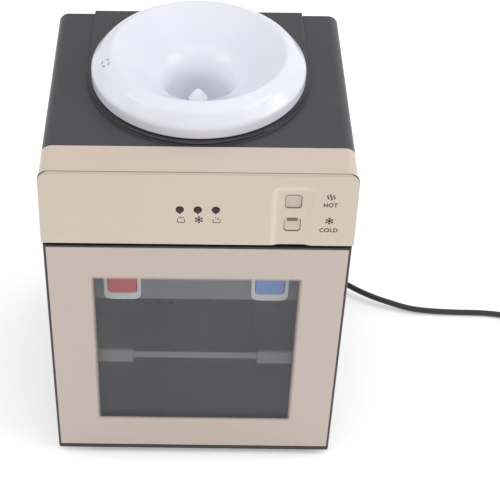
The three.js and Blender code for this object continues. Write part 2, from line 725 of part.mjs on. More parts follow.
// An upright wall with a front flange that closes the gap to the side panel.
function chamberWall(sign) {
  const inner = CHAMBER_SIDE;
  const outer = SIDE - WALL - FIT;
  const outline = polygon([
    [inner, CASE_FRONT],
    [outer, CASE_FRONT],
    [outer, CASE_FRONT + WALL],
    [inner + WALL, CASE_FRONT + WALL],
    [inner + WALL, CHAMBER_REAR - FIT],
    [inner, CHAMBER_REAR - FIT],
  ]);
  const wall = prism(outline, 'z', [PAN_TOP + FIT, HEAD_BOTTOM - FIT]);
  return sign > 0 ? wall : wall.rotateY(Math.PI).translate(0, 0, PAN_TOP + HEAD_BOTTOM);
}

function trayShelf() {
  const half = CHAMBER_SIDE - FIT;
  const front = CASE_FRONT + SHELF_LIP_SETBACK;
  const plate = box(span(half), [front, CHAMBER_REAR - FIT], [SHELF_TOP - SHELF_THICKNESS, SHELF_TOP]);
  const lip = box(span(half), [front, front + SHELF_LIP_THICKNESS], [SHELF_LIP_BOTTOM, SHELF_LIP_TOP]);
  const notch = box(span(NOTCH_HALF_WIDTH), [front - WALL, front + NOTCH_DEPTH],
    [SHELF_LIP_BOTTOM - WALL, SHELF_LIP_TOP + WALL]);
  return cut(join(plate, lip), notch);
}

// ---- drip tray --------------------------------------------------------------------------------
function trayOutline(inset) {
  const y = [TRAY_FRONT + inset, TRAY_FRONT + TRAY_DEPTH - inset];
  return roundedOutline(span(TRAY_SIDE - inset), y, TRAY_CORNER - inset, TRAY_CORNER - inset);
}

function dripTray() {
  const body = prism(trayOutline(0), 'z', [TRAY_BOTTOM, TRAY_TOP], 3);
  const hollow = prism(trayOutline(TRAY_WALL + GRILLE_LEDGE), 'z',
    [TRAY_BOTTOM + TRAY_WALL, TRAY_TOP + WALL], 3);
  const seat = prism(trayOutline(TRAY_WALL), 'z', [TRAY_TOP - GRILLE_THICKNESS, TRAY_TOP + WALL], 3);
  const rimFront = CASE_FRONT + SHELF_LIP_SETBACK;
  const rim = box(span(NOTCH_HALF_WIDTH - PLAY), [rimFront, TRAY_FRONT + TRAY_WALL / 2],
    [TRAY_TOP - TRAY_RIM_HEIGHT, TRAY_TOP]);
  return cut(join(body, rim), hollow, seat);
}

function dripGrille() {
  const bottom = TRAY_TOP - GRILLE_THICKNESS + FIT;
  const plate = prism(trayOutline(TRAY_WALL + FIT), 'z', [bottom, TRAY_TOP + FIT], 3);
  const half = TRAY_SIDE - TRAY_WALL - GRILLE_SLOT_MARGIN;
  const count = Math.floor(half / GRILLE_SLOT_PITCH);
  const y = [TRAY_FRONT + GRILLE_SLOT_MARGIN, TRAY_FRONT + TRAY_DEPTH - GRILLE_SLOT_MARGIN];
  const z = [bottom - WALL, TRAY_TOP + WALL];
  const slots = [];
  for (let i = -count; i <= count; i += 1) {
    const x = i * GRILLE_SLOT_PITCH;
    slots.push(box([x - GRILLE_SLOT_WIDTH / 2, x + GRILLE_SLOT_WIDTH / 2], y, z));
  }
  return cut(plate, ...slots);
}

// ---- door -------------------------------------------------------------------------------------
function doorPlan(inset) {
  const y = [DOOR_FRONT, DOOR_BACK];
  return roundedOutline(span(DOOR_SIDE - inset), y, DOOR_EDGE_RADIUS, DOOR_EDGE_RADIUS / 2);
}

function windowSpan(grow) {
  const half = DOOR_SIDE - WINDOW_SIDE_MARGIN + grow;
  const z = [DOOR_BOTTOM + WINDOW_BOTTOM_MARGIN - grow, DOOR_TOP - WINDOW_TOP_MARGIN + grow];
  return roundedOutline(span(half), z, WINDOW_RADIUS + grow, WINDOW_RADIUS + grow);
}

function doorFrame() {
  const slab = prism(doorPlan(0), 'z', [DOOR_BOTTOM, DOOR_TOP]);
  const panelPocket = box(
    span(DOOR_SIDE - DOOR_RIM),
    [DOOR_FRONT - WALL, DOOR_FRONT + DOOR_PANEL_THICKNESS + FIT],
    [DOOR_BOTTOM + DOOR_SILL, DOOR_TOP - DOOR_RIM],
  );
  const backPocket = box(
    [-DOOR_SIDE + HINGE_INSET + HINGE_BOSS_RADIUS, DOOR_SIDE - DOOR_FRAME_WALL],
    [DOOR_FRONT + DOOR_PANEL_THICKNESS + WINDOW_THICKNESS + WALL + FIT, DOOR_BACK + WALL],
    [DOOR_BOTTOM + DOOR_FRAME_WALL + DOOR_SILL, DOOR_TOP - DOOR_FRAME_WALL],
  );
  const opening = prism(windowSpan(-WINDOW_LAND / 2), 'y', [DOOR_FRONT - WALL, DOOR_BACK + WALL]);
  const glassPocket = prism(windowSpan(WINDOW_LAND + FIT), 'y',
    [DOOR_FRONT, DOOR_FRONT + DOOR_PANEL_THICKNESS + WINDOW_THICKNESS + FIT]);
  const bores = [DOOR_TOP, DOOR_BOTTOM].map((z) => (
    disc(HINGE_PIN_RADIUS + FIT, [z - HINGE_PIN_REACH - 2, z + HINGE_PIN_REACH + 2],
      HINGE_X, HINGE_Y, ROUND_SMALL)
  ));
  return cut(slab, panelPocket, backPocket, opening, glassPocket, ...bores);
}

function doorPanel() {
  const plate = box(
    span(DOOR_SIDE - DOOR_RIM - FIT),
    [DOOR_FRONT, DOOR_FRONT + DOOR_PANEL_THICKNESS],
    [DOOR_BOTTOM + DOOR_SILL + FIT, DOOR_TOP - DOOR_RIM - FIT],
  );
  return cut(plate, prism(windowSpan(0), 'y', [DOOR_FRONT - WALL, DOOR_BACK]));
}

// The pane is stepped, so that its middle comes flush with the door's face.
function doorWindow() {
  const back = DOOR_FRONT + DOOR_PANEL_THICKNESS + WINDOW_THICKNESS;
  return join(
    prism(windowSpan(-FIT), 'y', [DOOR_FRONT + FIT, back]),
    prism(windowSpan(WINDOW_LAND), 'y', [DOOR_FRONT + DOOR_PANEL_THICKNESS + FIT, back]),
  );
}

function hingeBracket(plate, pin) {
  const y = [HINGE_Y - BRACKET_EDGE, HINGE_Y + BRACKET_REACH];
  const x = [HINGE_X - BRACKET_EDGE, HINGE_X + BRACKET_WIDTH];
  return join(box(x, y, plate), disc(HINGE_PIN_RADIUS, pin, HINGE_X, HINGE_Y, ROUND_SMALL));
}

function upperHingeBracket() {
  const bottom = HEAD_BOTTOM + WALL + FIT;
  return hingeBracket([bottom, bottom + BRACKET_THICKNESS],
    [DOOR_TOP - HINGE_PIN_REACH, bottom + BRACKET_THICKNESS / 2]);
}

function lowerHingeBracket() {
  const top = FOOT_HEIGHT - FIT;
  return hingeBracket([top - BRACKET_THICKNESS, top],
    [top - BRACKET_THICKNESS / 2, DOOR_BOTTOM + HINGE_PIN_REACH]);
}

function catchMagnet() {
  const x = SIDE - CHAMBER_SIDE_GAP / 2;
  const z = HEAD_BOTTOM - MAGNET_DROP;
  return box([x - MAGNET_WIDTH / 2, x + MAGNET_WIDTH / 2],
    [DOOR_BACK + 2 * FIT, CASE_FRONT - FIT], [z - MAGNET_HEIGHT, z]);
}

// ---- taps -------------------------------------------------------------------------------------
function tapBody(x) {
  const width = [x - TAP_WIDTH / 2, x + TAP_WIDTH / 2];
  const back = FASCIA_FRONT - FIT;
  const housing = prism(
    roundedOutline(width, [TAP_BOTTOM, TAP_TOP], TAP_RADIUS / 2, TAP_RADIUS), 'y', [TAP_FRONT, back]);
  const nozzleY = back - NOZZLE_SETBACK;
  const nozzle = disc(NOZZLE_RADIUS, [TAP_BOTTOM - NOZZLE_DROP, TAP_BOTTOM + 2], x, nozzleY, ROUND_SMALL);
  const shank = barY(TAP_SHANK_RADIUS, [back - 2, back + TAP_SHANK_REACH], x, shankHeight());
  const pocketWidth = TAP_WIDTH / 2 - TAP_SIDE_MARGIN;
  const pocket = prism(
    roundedOutline([x - pocketWidth, x + pocketWidth], [TAP_BOTTOM + TAP_BOTTOM_MARGIN, TAP_TOP - 2],
      1, TAP_RADIUS - TAP_SIDE_MARGIN),
    'y', [TAP_FRONT - WALL, TAP_FRONT + TAP_POCKET_DEPTH], 3);
  const bore = disc(NOZZLE_BORE, [TAP_BOTTOM - 2 * NOZZLE_DROP, TAP_BOTTOM + TAP_BOTTOM_MARGIN + 2],
    x, nozzleY, ROUND_SMALL);
  const guide = barY(PLUNGER_RADIUS + FIT, [TAP_FRONT, back + 2 * TAP_SHANK_REACH], x, shankHeight());
  const axle = barX(LEVER_AXLE_RADIUS + FIT,
    [x - pocketWidth - TAP_SIDE_MARGIN / 2, x + pocketWidth + TAP_SIDE_MARGIN / 2],
    leverAxleY(), LEVER_AXLE_Z);
  return cut(join(housing, nozzle, shank), pocket, bore, guide, axle);
}

function leverAxleY() {
  return TAP_FRONT + LEVER_AXLE_RADIUS + 1;
}

function tapLever(x) {
  const halfWidth = TAP_WIDTH / 2 - TAP_SIDE_MARGIN - PLAY;
  const bottom = TAP_BOTTOM + TAP_BOTTOM_MARGIN + PLAY;
  const plate = prism(
    roundedOutline([x - halfWidth, x + halfWidth], [bottom, TAP_TOP - 2 - PLAY],
      1, TAP_RADIUS - TAP_SIDE_MARGIN - PLAY),
    'y', [TAP_FRONT, TAP_FRONT + LEVER_THICKNESS], 3);
  const reach = halfWidth + PLAY + TAP_SIDE_MARGIN / 2 - FIT;
  return join(plate, barX(LEVER_AXLE_RADIUS, [x - reach, x + reach], leverAxleY(), LEVER_AXLE_Z));
}

function tapPlunger(x) {
  const front = TAP_FRONT + LEVER_THICKNESS + FIT;
  return barY(PLUNGER_RADIUS, [front, front + PLUNGER_LENGTH], x, shankHeight());
}

// ---- bottle seat ------------------------------------------------------------------------------
function seatProfile() {
  const slope = THROAT_LIP_DROP / (SEAT_CREST_RADIUS - THROAT_LIP_RADIUS);
  const coneTop = (radius) => THROAT_LIP_Z + (radius - THROAT_LIP_RADIUS) * slope;
  const underCone = (radius) => coneTop(radius) - SEAT_WALL * Math.hypot(1, slope);
  const shoulder = SEAT_BOTTOM + SEAT_SIDE_HEIGHT;
  const innerEdge = SEAT_RADIUS - SEAT_WALL;
  const spigot = MOUTH_RADIUS - PLAY;
  const spigotInner = spigot - SPIGOT_WALL;
  const spigotFoot = SEAT_BOTTOM - SPIGOT_DEPTH;
  const throatOuter = THROAT_RADIUS + SEAT_WALL;
  return [
    [THROAT_FLOOR_BORE, THROAT_FLOOR - SEAT_WALL],
    [throatOuter, THROAT_FLOOR - SEAT_WALL],
    [throatOuter, THROAT_LIP_Z - 18],
    [throatOuter + 3.5, THROAT_LIP_Z - 8],
    [THROAT_LIP_RADIUS + 6, underCone(THROAT_LIP_RADIUS + 6)],
    [spigotInner, underCone(spigotInner)],
    [spigotInner, spigotFoot],
    [spigot, spigotFoot],
    [spigot, underCone(spigot)],
    [SEAT_CREST_RADIUS, SEAT_TOP - SEAT_WALL - 1.5],
    [SEAT_CREST_RADIUS + 6, SEAT_TOP - SEAT_WALL - 3],
    [innerEdge - 2, shoulder - 1],
    [innerEdge, shoulder - SEAT_EDGE],
    [innerEdge, SEAT_BOTTOM],
    [SEAT_RADIUS - 0.8, SEAT_BOTTOM],
    [SEAT_RADIUS, SEAT_BOTTOM + 0.8],
    [SEAT_RADIUS, shoulder - SEAT_EDGE],
    [SEAT_RADIUS - 0.9, shoulder + 0.4],
    [SEAT_RADIUS - SEAT_EDGE, shoulder + SEAT_EDGE],
    [SEAT_CREST_RADIUS + 10.5, SEAT_TOP - 5.6],
    [SEAT_CREST_RADIUS + 5, SEAT_TOP - 1.5],
    [SEAT_CREST_RADIUS, SEAT_TOP],
    [SEAT_CREST_RADIUS - 4, SEAT_TOP - 1.6],
    [THROAT_LIP_RADIUS + 4, coneTop(THROAT_LIP_RADIUS + 4)],
    [THROAT_LIP_RADIUS, THROAT_LIP_Z - 0.9],
    [THROAT_LIP_RADIUS - 4, THROAT_LIP_Z - 7],
    [THROAT_RADIUS, THROAT_LIP_Z - 18],
    [THROAT_RADIUS, THROAT_FLOOR],
    [THROAT_FLOOR_BORE, THROAT_FLOOR],
    [THROAT_FLOOR_BORE, THROAT_FLOOR - SEAT_WALL],
  ];
}

function bottleSeat() {
  return turned(seatProfile(), 0, SEAT_Y);
}

function probe() {
  const foot = THROAT_FLOOR + FIT;
  const tip = foot + PROBE_HEIGHT;
  const inner = PROBE_RADIUS - PROBE_WALL;
  const profile = [
    [inner, foot],
    [PROBE_FLANGE_RADIUS, foot],
    [PROBE_FLANGE_RADIUS, foot + 2.5],
    [PROBE_RADIUS, foot + 2.5],
    [PROBE_RADIUS, tip - 9],
    [PROBE_RADIUS * 0.75, tip - 5],
    [PROBE_RADIUS * 0.4, tip - 1.5],
    [0, tip],
    [0, tip - 4],
    [inner * 0.8, tip - 9],
    [inner, tip - 12],
    [inner, foot],
  ];
  const solid = turned(profile, 0, SEAT_Y, ROUND_SMALL);
  const halfSlot = PROBE_SLOT_WIDTH / 2;
  const z = [foot + 5, tip - 12];
  return cut(
    solid,
    box(span(halfSlot), [SEAT_Y - 2 * PROBE_RADIUS, SEAT_Y + 2 * PROBE_RADIUS], z),
    box(span(2 * PROBE_RADIUS), [SEAT_Y - halfSlot, SEAT_Y + halfSlot], z),
  );
}

function sealBand() {
  const top = COLD_TANK_TOP - 1;
  const inner = THROAT_RADIUS + SEAT_WALL + FIT;
  return ring(inner, inner + SEAL_THICKNESS, [top - SEAL_HEIGHT, top], 0, SEAT_Y);
}

// ---- cold side --------------------------------------------------------------------------------
function coldTank() {
  const inner = COLD_TANK_RADIUS - TANK_WALL;
  const floor = COLD_TANK_BOTTOM + TANK_WALL;
  const cup = turned([
    [0, COLD_TANK_BOTTOM],
    [COLD_TANK_RADIUS, COLD_TANK_BOTTOM],
    [COLD_TANK_RADIUS, COLD_TANK_TOP],
    [inner, COLD_TANK_TOP],
    [inner, floor],
    [0, floor],
  ], 0, SEAT_Y, ROUND_MEDIUM);
  return cut(cup, ...coldPorts([COLD_TANK_BOTTOM - WALL, floor + WALL]));
}

function coldPorts(z) {
  return [0, COLD_PORT_OFFSET].map((x) => disc(TANK_PORT_RADIUS, z, x, SEAT_Y, ROUND_SMALL));
}

function tankLid() {
  const bore = THROAT_RADIUS + SEAT_WALL + FIT + SEAL_THICKNESS + FIT;
  const outer = COLD_TANK_RADIUS + LID_OVERHANG;
  const under = COLD_TANK_TOP + FIT;
  return turned([
    [bore, under - LID_COLLAR_DEPTH],
    [bore + LID_THICKNESS, under - LID_COLLAR_DEPTH],
    [bore + LID_THICKNESS, under],
    [outer, under],
    [outer, under + LID_THICKNESS],
    [bore, under + LID_THICKNESS],
    [bore, under - LID_COLLAR_DEPTH],
  ], 0, SEAT_Y);
}

function tankFoam() {
  const inner = COLD_TANK_RADIUS + FIT;
  const floor = COLD_TANK_BOTTOM - FIT;
  const cup = turned([
    [0, COLD_FOAM_BOTTOM],
    [inner + FOAM_THICKNESS, COLD_FOAM_BOTTOM],
    [inner + FOAM_THICKNESS, COLD_TANK_TOP - FIT],
    [inner, COLD_TANK_TOP - FIT],
    [inner, floor],
    [0, floor],
  ], 0, SEAT_Y, ROUND_MEDIUM);
  const half = BLOCK_SIZE / 2 + FIT;
  const z = [COOLING_Z - half, COOLING_Z + half];
  const window = box(span(half), [SEAT_Y, SINK_FRONT + FOAM_THICKNESS], z);
  return cut(cup, window, ...coldPorts([COLD_FOAM_BOTTOM - WALL, floor + WALL]));
}

function separatorDisc() {
  const z = COLD_TANK_TOP - SEPARATOR_DROP;
  const outer = COLD_TANK_RADIUS - TANK_WALL - SEPARATOR_GAP;
  return ring(TANK_PORT_RADIUS, outer, [z, z + SEPARATOR_THICKNESS], 0, SEAT_Y, ROUND_MEDIUM);
}

function coolingBlock() {
  const half = BLOCK_SIZE / 2;
  const block = box(span(half), [SEAT_Y + COLD_TANK_RADIUS / 2, SINK_FRONT - FIT],
    [COOLING_Z - half, COOLING_Z + half]);
  const wall = disc(COLD_TANK_RADIUS + FIT, [COOLING_Z - BLOCK_SIZE, COOLING_Z + BLOCK_SIZE],
    0, SEAT_Y, ROUND_MEDIUM);
  return cut(block, wall);
}

function heatSink() {
  const half = SINK_SIZE / 2;
  const z = [COOLING_Z - half, COOLING_Z + half];
  const base = box(span(half), [SINK_FRONT, SINK_FRONT + SINK_BASE], z);
  const pitch = (SINK_SIZE - FIN_THICKNESS) / (SINK_FINS - 1);
  const fins = [];
  for (let i = 0; i < SINK_FINS; i += 1) {
    const x = -half + i * pitch;
    fins.push(box([x, x + FIN_THICKNESS], [SINK_FRONT + SINK_BASE / 2, FAN_FRONT - FIT], z));
  }
  return join(base, ...fins);
}

function fanFrame() {
  const half = SINK_SIZE / 2;
  const z = [COOLING_Z - half, COOLING_Z + half];
  const body = cut(
    box(span(half), [FAN_FRONT, FAN_REAR], z),
    barY(FAN_BORE, [FAN_FRONT - WALL, FAN_REAR + WALL], 0, COOLING_Z, ROUND_MEDIUM),
  );
  const strutY = [FAN_REAR - 2, FAN_REAR];
  const strut = 2.5;
  return join(
    body,
    box(span(FAN_BORE + 1), strutY, [COOLING_Z - strut, COOLING_Z + strut]),
    box(span(strut), strutY, [COOLING_Z - FAN_BORE - 1, COOLING_Z + FAN_BORE + 1]),
    barY(FAN_HUB_RADIUS, strutY, 0, COOLING_Z),
  );
}

function fanRotor() {
  const y = [FAN_FRONT + 0.5, FAN_REAR - 2 - PLAY];
  const hub = barY(FAN_HUB_RADIUS, y, 0, 0);
  const reach = FAN_BORE - 2;
  const blades = [];
  for (let i = 0; i < FAN_BLADES; i += 1) {
    const blade = box([FAN_HUB_RADIUS - 2, reach], span(BLADE_THICKNESS / 2), span(4));
    blade.rotateX(THREE.MathUtils.degToRad(50)).rotateY((i / FAN_BLADES) * 2 * Math.PI);
    blades.push(blade.translate(0, (y[0] + y[1]) / 2, 0));
  }
  return join(hub, ...blades).translate(0, 0, COOLING_Z);
}

// ---- hot side ---------------------------------------------------------------------------------
function hotTank() {
  const inner = HOT_TANK_RADIUS - TANK_WALL;
  const neckTop = HOT_TANK_TOP + HOT_NECK_HEIGHT;
  const neckInner = HOT_NECK_RADIUS - TANK_WALL;
  const vessel = turned([
    [0, HOT_TANK_BOTTOM],
    [HOT_TANK_RADIUS, HOT_TANK_BOTTOM],
    [HOT_TANK_RADIUS, HOT_TANK_TOP],
    [HOT_NECK_RADIUS, HOT_TANK_TOP],
    [HOT_NECK_RADIUS, neckTop],
    [neckInner, neckTop],
    [neckInner, HOT_TANK_TOP - TANK_WALL],
    [inner, HOT_TANK_TOP - TANK_WALL],
    [inner, HOT_TANK_BOTTOM + TANK_WALL],
    [0, HOT_TANK_BOTTOM + TANK_WALL],
  ], HOT_TANK_X, HOT_TANK_Y, ROUND_MEDIUM);
  const heater = disc(HEATER_RADIUS, [HOT_TANK_BOTTOM - HEATER_HEIGHT, HOT_TANK_BOTTOM + TANK_WALL / 2],
    HOT_TANK_X, HOT_TANK_Y, ROUND_SMALL);
  return join(vessel, heater);
}

function drainCap() {
  const outer = REAR - DRAIN_RECESS;
  const cap = barY(DRAIN_CAP_RADIUS, [outer - DRAIN_CAP_LENGTH, outer], 0, 0, ROUND_MEDIUM);
  const half = 2;
  const grips = [-1, 1].map((sign) => (
    box([sign < 0 ? -DRAIN_CAP_RADIUS : half, sign < 0 ? -half : DRAIN_CAP_RADIUS],
      [outer - 3, outer + WALL], span(DRAIN_CAP_RADIUS))
  ));
  return cut(cap, ...grips).translate(DRAIN_X, 0, DRAIN_Z);
}

function waterTube(points) {
  return tubeAlong(points, TUBE_RADIUS, CORD_SIDES, 3 * points.length);
}

function feedTube() {
  const neckTop = HOT_TANK_TOP + HOT_NECK_HEIGHT + FIT;
  const high = COLD_FOAM_BOTTOM - FIT;
  return waterTube([
    [0, SEAT_Y, high],
    [0, SEAT_Y, high - 8],
    [HOT_TANK_X / 3, (2 * SEAT_Y + HOT_TANK_Y) / 3, (high + neckTop) / 2],
    [HOT_TANK_X * 0.75, (SEAT_Y + 3 * HOT_TANK_Y) / 4, neckTop + 13],
    [HOT_TANK_X, HOT_TANK_Y, neckTop + 6],
    [HOT_TANK_X, HOT_TANK_Y, neckTop],
  ]);
}

function shankEnd() {
  return FASCIA_FRONT + TAP_SHANK_REACH;
}

function hotOutletTube() {
  const x = tapCentres().hot;
  const portX = HOT_TANK_X - HOT_PORT_OFFSET;
  const portZ = HOT_TANK_TOP + FIT;
  return waterTube([
    [x, shankEnd(), shankHeight()],
    [x, shankEnd() + 12, shankHeight()],
    [x, (shankEnd() + HOT_TANK_Y) / 2, (2 * shankHeight() + portZ) / 3],
    [portX, HOT_TANK_Y - 4, portZ + 16],
    [portX, HOT_TANK_Y, portZ + 8],
    [portX, HOT_TANK_Y, portZ],
  ]);
}

function coldOutletTube() {
  const x = tapCentres().cold;
  const high = COLD_FOAM_BOTTOM - FIT;
  return waterTube([
    [x, shankEnd(), shankHeight()],
    [x, shankEnd() + 12, shankHeight()],
    [x - 8, (shankEnd() + SEAT_Y) / 2, high - 18],
    [COLD_PORT_OFFSET + 4, SEAT_Y - 8, high - 16],
    [COLD_PORT_OFFSET, SEAT_Y, high - 8],
    [COLD_PORT_OFFSET, SEAT_Y, high],
  ]);
}

// ---- power ------------------------------------------------------------------------------------
function powerBoard() {
  const z = FOOT_HEIGHT + WALL + POWER_BOARD_LIFT;
  const x = [POWER_BOARD_X - POWER_BOARD_WIDTH / 2, POWER_BOARD_X + POWER_BOARD_WIDTH / 2];
  const y = [CHAMBER_REAR + 2 * WALL + 4, CHAMBER_REAR + 2 * WALL + 4 + POWER_BOARD_DEPTH];
  const transformer = box([x[0] + 8, x[0] + 44], [y[0] + 8, y[0] + 42], [z + 1, z + 32]);
  const relay = box([x[1] - 30, x[1] - 8], [y[0] + 10, y[0] + 28], [z + 1, z + 18]);
  const capacitor = disc(7, [z + 1, z + 26], x[1] - 45, y[0] + 20, ROUND_SMALL);
  return join(box(x, y, [z, z + BOARD_THICKNESS]), transformer, relay, capacitor);
}

function cordGland() {
  const hole = GLAND_COLLAR_RADIUS - 2;
  const profile = [
    [0, REAR - WALL - GLAND_INSIDE],
    [hole, REAR - WALL - GLAND_INSIDE],
    [hole, REAR + FIT],
    [GLAND_COLLAR_RADIUS, REAR + FIT],
    [GLAND_COLLAR_RADIUS, REAR + 3],
    [GLAND_COLLAR_RADIUS - 2, REAR + 4],
    [GLAND_TIP_RADIUS, GLAND_TIP_Y],
    [0, GLAND_TIP_Y],
  ];
  return turned(profile, 0, 0, ROUND_SMALL).rotateX(-Math.PI / 2).translate(CORD_EXIT_X, 0, CORD_EXIT_Z);
}

// The cord's route from the gland to the coil: distances from the case's right side and from its
// rear, and heights above the table.
const CORD_ROUTE = [
  [-80, 24.6, 40],
  [-79.2, 31, 39.5],
  [-75, 43, 36.5],
  [-64, 53.5, 31.5],
  [-48, 57, 26],
  [-30, 50, 21],
  [-13, 34, 17.5],
  [5, 14, 15],
  [24, -6, 14],
  [43, -22, 13],
  [68, -37.4, 11],
  [93, -47.2, 8.5],
  [117, -53.5, 5.6],
  [142, -56, 4.1],
  [175, -57.5, 3.8],
  [208, -58.5, 3.8],
  [235, -62.7, 3.8],
  [259.6, -70.4, 3.8],
];

function powerCord() {
  const route = CORD_ROUTE.map(([x, y, z]) => [SIDE + x, REAR + y, z]);
  return tubeAlong(route, CORD_RADIUS, CORD_SIDES, CORD_STEPS);
}

function cordCoil() {
  const inner = COIL_RADIUS - COIL_WIDTH / 2;
  const outer = COIL_RADIUS + COIL_WIDTH / 2;
  const ease = 3;
  return turned([
    [inner + ease, 0],
    [outer - ease, 0],
    [outer, ease],
    [outer, COIL_HEIGHT - ease],
    [outer - ease, COIL_HEIGHT],
    [inner + ease, COIL_HEIGHT],
    [inner, COIL_HEIGHT - ease],
    [inner, ease],
    [inner + ease, 0],
  ], COIL_X, COIL_Y, ROUND_MEDIUM);
}

function plug() {
  const half = PLUG_WIDTH / 2;
  const bodyY = [PLUG_GUARD_LENGTH, PLUG_GUARD_LENGTH + PLUG_LENGTH];
  const body = prism(roundedOutline(span(half), [0, PLUG_HEIGHT], 5, 5), 'y', bodyY, 3);
  const guard = new THREE.CylinderGeometry(7, CORD_RADIUS + 1.2, PLUG_GUARD_LENGTH + 1, ROUND_SMALL);
  guard.translate(0, (PLUG_GUARD_LENGTH + 1) / 2, PLUG_HEIGHT / 2);
  const pinY = [bodyY[1] - 1, bodyY[1] + PIN_LENGTH];
  const pins = [-1, 1].map((sign) => (
    box(span(PIN_WIDTH / 2), pinY, span(PIN_THICKNESS / 2))
      .rotateY(sign * Math.PI / 6)
      .translate(sign * PIN_SPREAD, 0, PLUG_HEIGHT * 0.62)
  ));
  const earth = box(span(PIN_THICKNESS / 2), pinY, span(PIN_WIDTH / 2)).translate(0, 0, PLUG_HEIGHT * 0.28);
  return join(body, guard, ...pins, earth);
}

// ---- assembly ---------------------------------------------------------------------------------
const footNames = ['foot_front_left', 'foot_front_right', 'foot_rear_left', 'foot_rear_right'];
footPlaces().forEach(([x, y], i) => addPiece(footNames[i], foot(x, y), 'rubber'));
addPiece('base_pan', basePan(), 'darkCase');
addPiece('left_side_panel', sidePanel(-1), 'darkCase');
addPiece('right_side_panel', sidePanel(1), 'darkCase');
addPiece('rear_panel', rearPanel(), 'darkCase');
addPiece('top_cover', topCover(), 'darkCase');

addPiece('head_shroud', headShroud(), 'champagne');
addPiece('control_panel', controlPanel(), 'champagne');
addPiece('hot_rocker', rocker(HOT_SWITCH_Z, ROCKER_OFF_TILT), 'rocker');
addPiece('cold_rocker', rocker(COLD_SWITCH_Z, ROCKER_ON_TILT), 'rocker');
addPiece('hot_switch_housing', switchHousing(HOT_SWITCH_Z), 'blackTrim');
addPiece('cold_switch_housing', switchHousing(COLD_SWITCH_Z), 'blackTrim');
const lensNames = ['heating_lens', 'cooling_lens', 'keep_warm_lens'];
lensPlaces().forEach((x, i) => addPiece(lensNames[i], lens(x), 'lens'));
addPiece('indicator_board', indicatorBoard(), 'circuitBoard');

addPiece('tap_fascia', tapFascia(), 'liner');
addPiece('chamber_ceiling', chamberCeiling(), 'liner');
addPiece('chamber_back', chamberBack(), 'liner');
addPiece('chamber_left_wall', chamberWall(-1), 'liner');
addPiece('chamber_right_wall', chamberWall(1), 'liner');
addPiece('tray_shelf', trayShelf(), 'liner');
addPiece('drip_tray', dripTray(), 'liner');
addPiece('drip_grille', dripGrille(), 'blackTrim');

addPiece('door_frame', doorFrame(), 'blackTrim');
addPiece('door_panel', doorPanel(), 'champagne');
addPiece('door_window', doorWindow(), 'smokedGlass');
addPiece('upper_hinge_bracket', upperHingeBracket(), 'steel');
addPiece('lower_hinge_bracket', lowerHingeBracket(), 'steel');
addPiece('catch_magnet', catchMagnet(), 'steel');

const leverFinish = { hot: 'hotRed', cold: 'coldBlue' };
Object.entries(tapCentres()).forEach(([water, x]) => {
  addPiece(`${water}_tap_body`, tapBody(x), 'whitePlastic');
  addPiece(`${water}_tap_lever`, tapLever(x), leverFinish[water]);
  addPiece(`${water}_tap_plunger`, tapPlunger(x), 'steel');
});

addPiece('bottle_seat', bottleSeat(), 'whitePlastic');
addPiece('probe', probe(), 'whitePlastic');
addPiece('seat_seal', sealBand(), 'silicone');

addPiece('cold_tank', coldTank(), 'steel');
addPiece('tank_lid', tankLid(), 'whitePlastic');
addPiece('tank_foam', tankFoam(), 'foam');
addPiece('separator_disc', separatorDisc(), 'whitePlastic');
addPiece('cooling_block', coolingBlock(), 'aluminium');
addPiece('heat_sink', heatSink(), 'aluminium');
addPiece('fan_frame', fanFrame(), 'blackTrim');
addPiece('fan_rotor', fanRotor(), 'blackTrim');

addPiece('hot_tank', hotTank(), 'steel');
addPiece('feed_tube', feedTube(), 'silicone');
addPiece('hot_outlet_tube', hotOutletTube(), 'silicone');
addPiece('cold_outlet_tube', coldOutletTube(), 'silicone');
addPiece('drain_cap', drainCap(), 'blackTrim');

addPiece('power_board', powerBoard(), 'circuitBoard');
addPiece('cord_gland', cordGland(), 'rubber');
addPiece('power_cord', powerCord(), 'cord');
addPiece('cord_coil', cordCoil(), 'cord');

// The cord leaves the coil's outer turn along a tangent, and the plug lies on that line.
const plugGroup = new THREE.Group();
const outerTurn = COIL_RADIUS + COIL_WIDTH / 2 - CORD_RADIUS - FIT;
const along = new THREE.Vector2(outerTurn, PLUG_TO_COIL).rotateAround(new THREE.Vector2(), PLUG_TURN);
plugGroup.position.set(COIL_X + along.x, COIL_Y + along.y, 0);
plugGroup.rotation.z = PLUG_TURN;
dispenser.add(plugGroup);
addPiece('plug', plug(), 'cord', plugGroup);

export default dispenser;
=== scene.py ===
"""A countertop water dispenser: smooth shells, glass, taps, seat and lead around its CAD frame."""

import json
import math

import bmesh
import bpy
from mathutils import Matrix, Vector
from mathutils.bvhtree import BVHTree

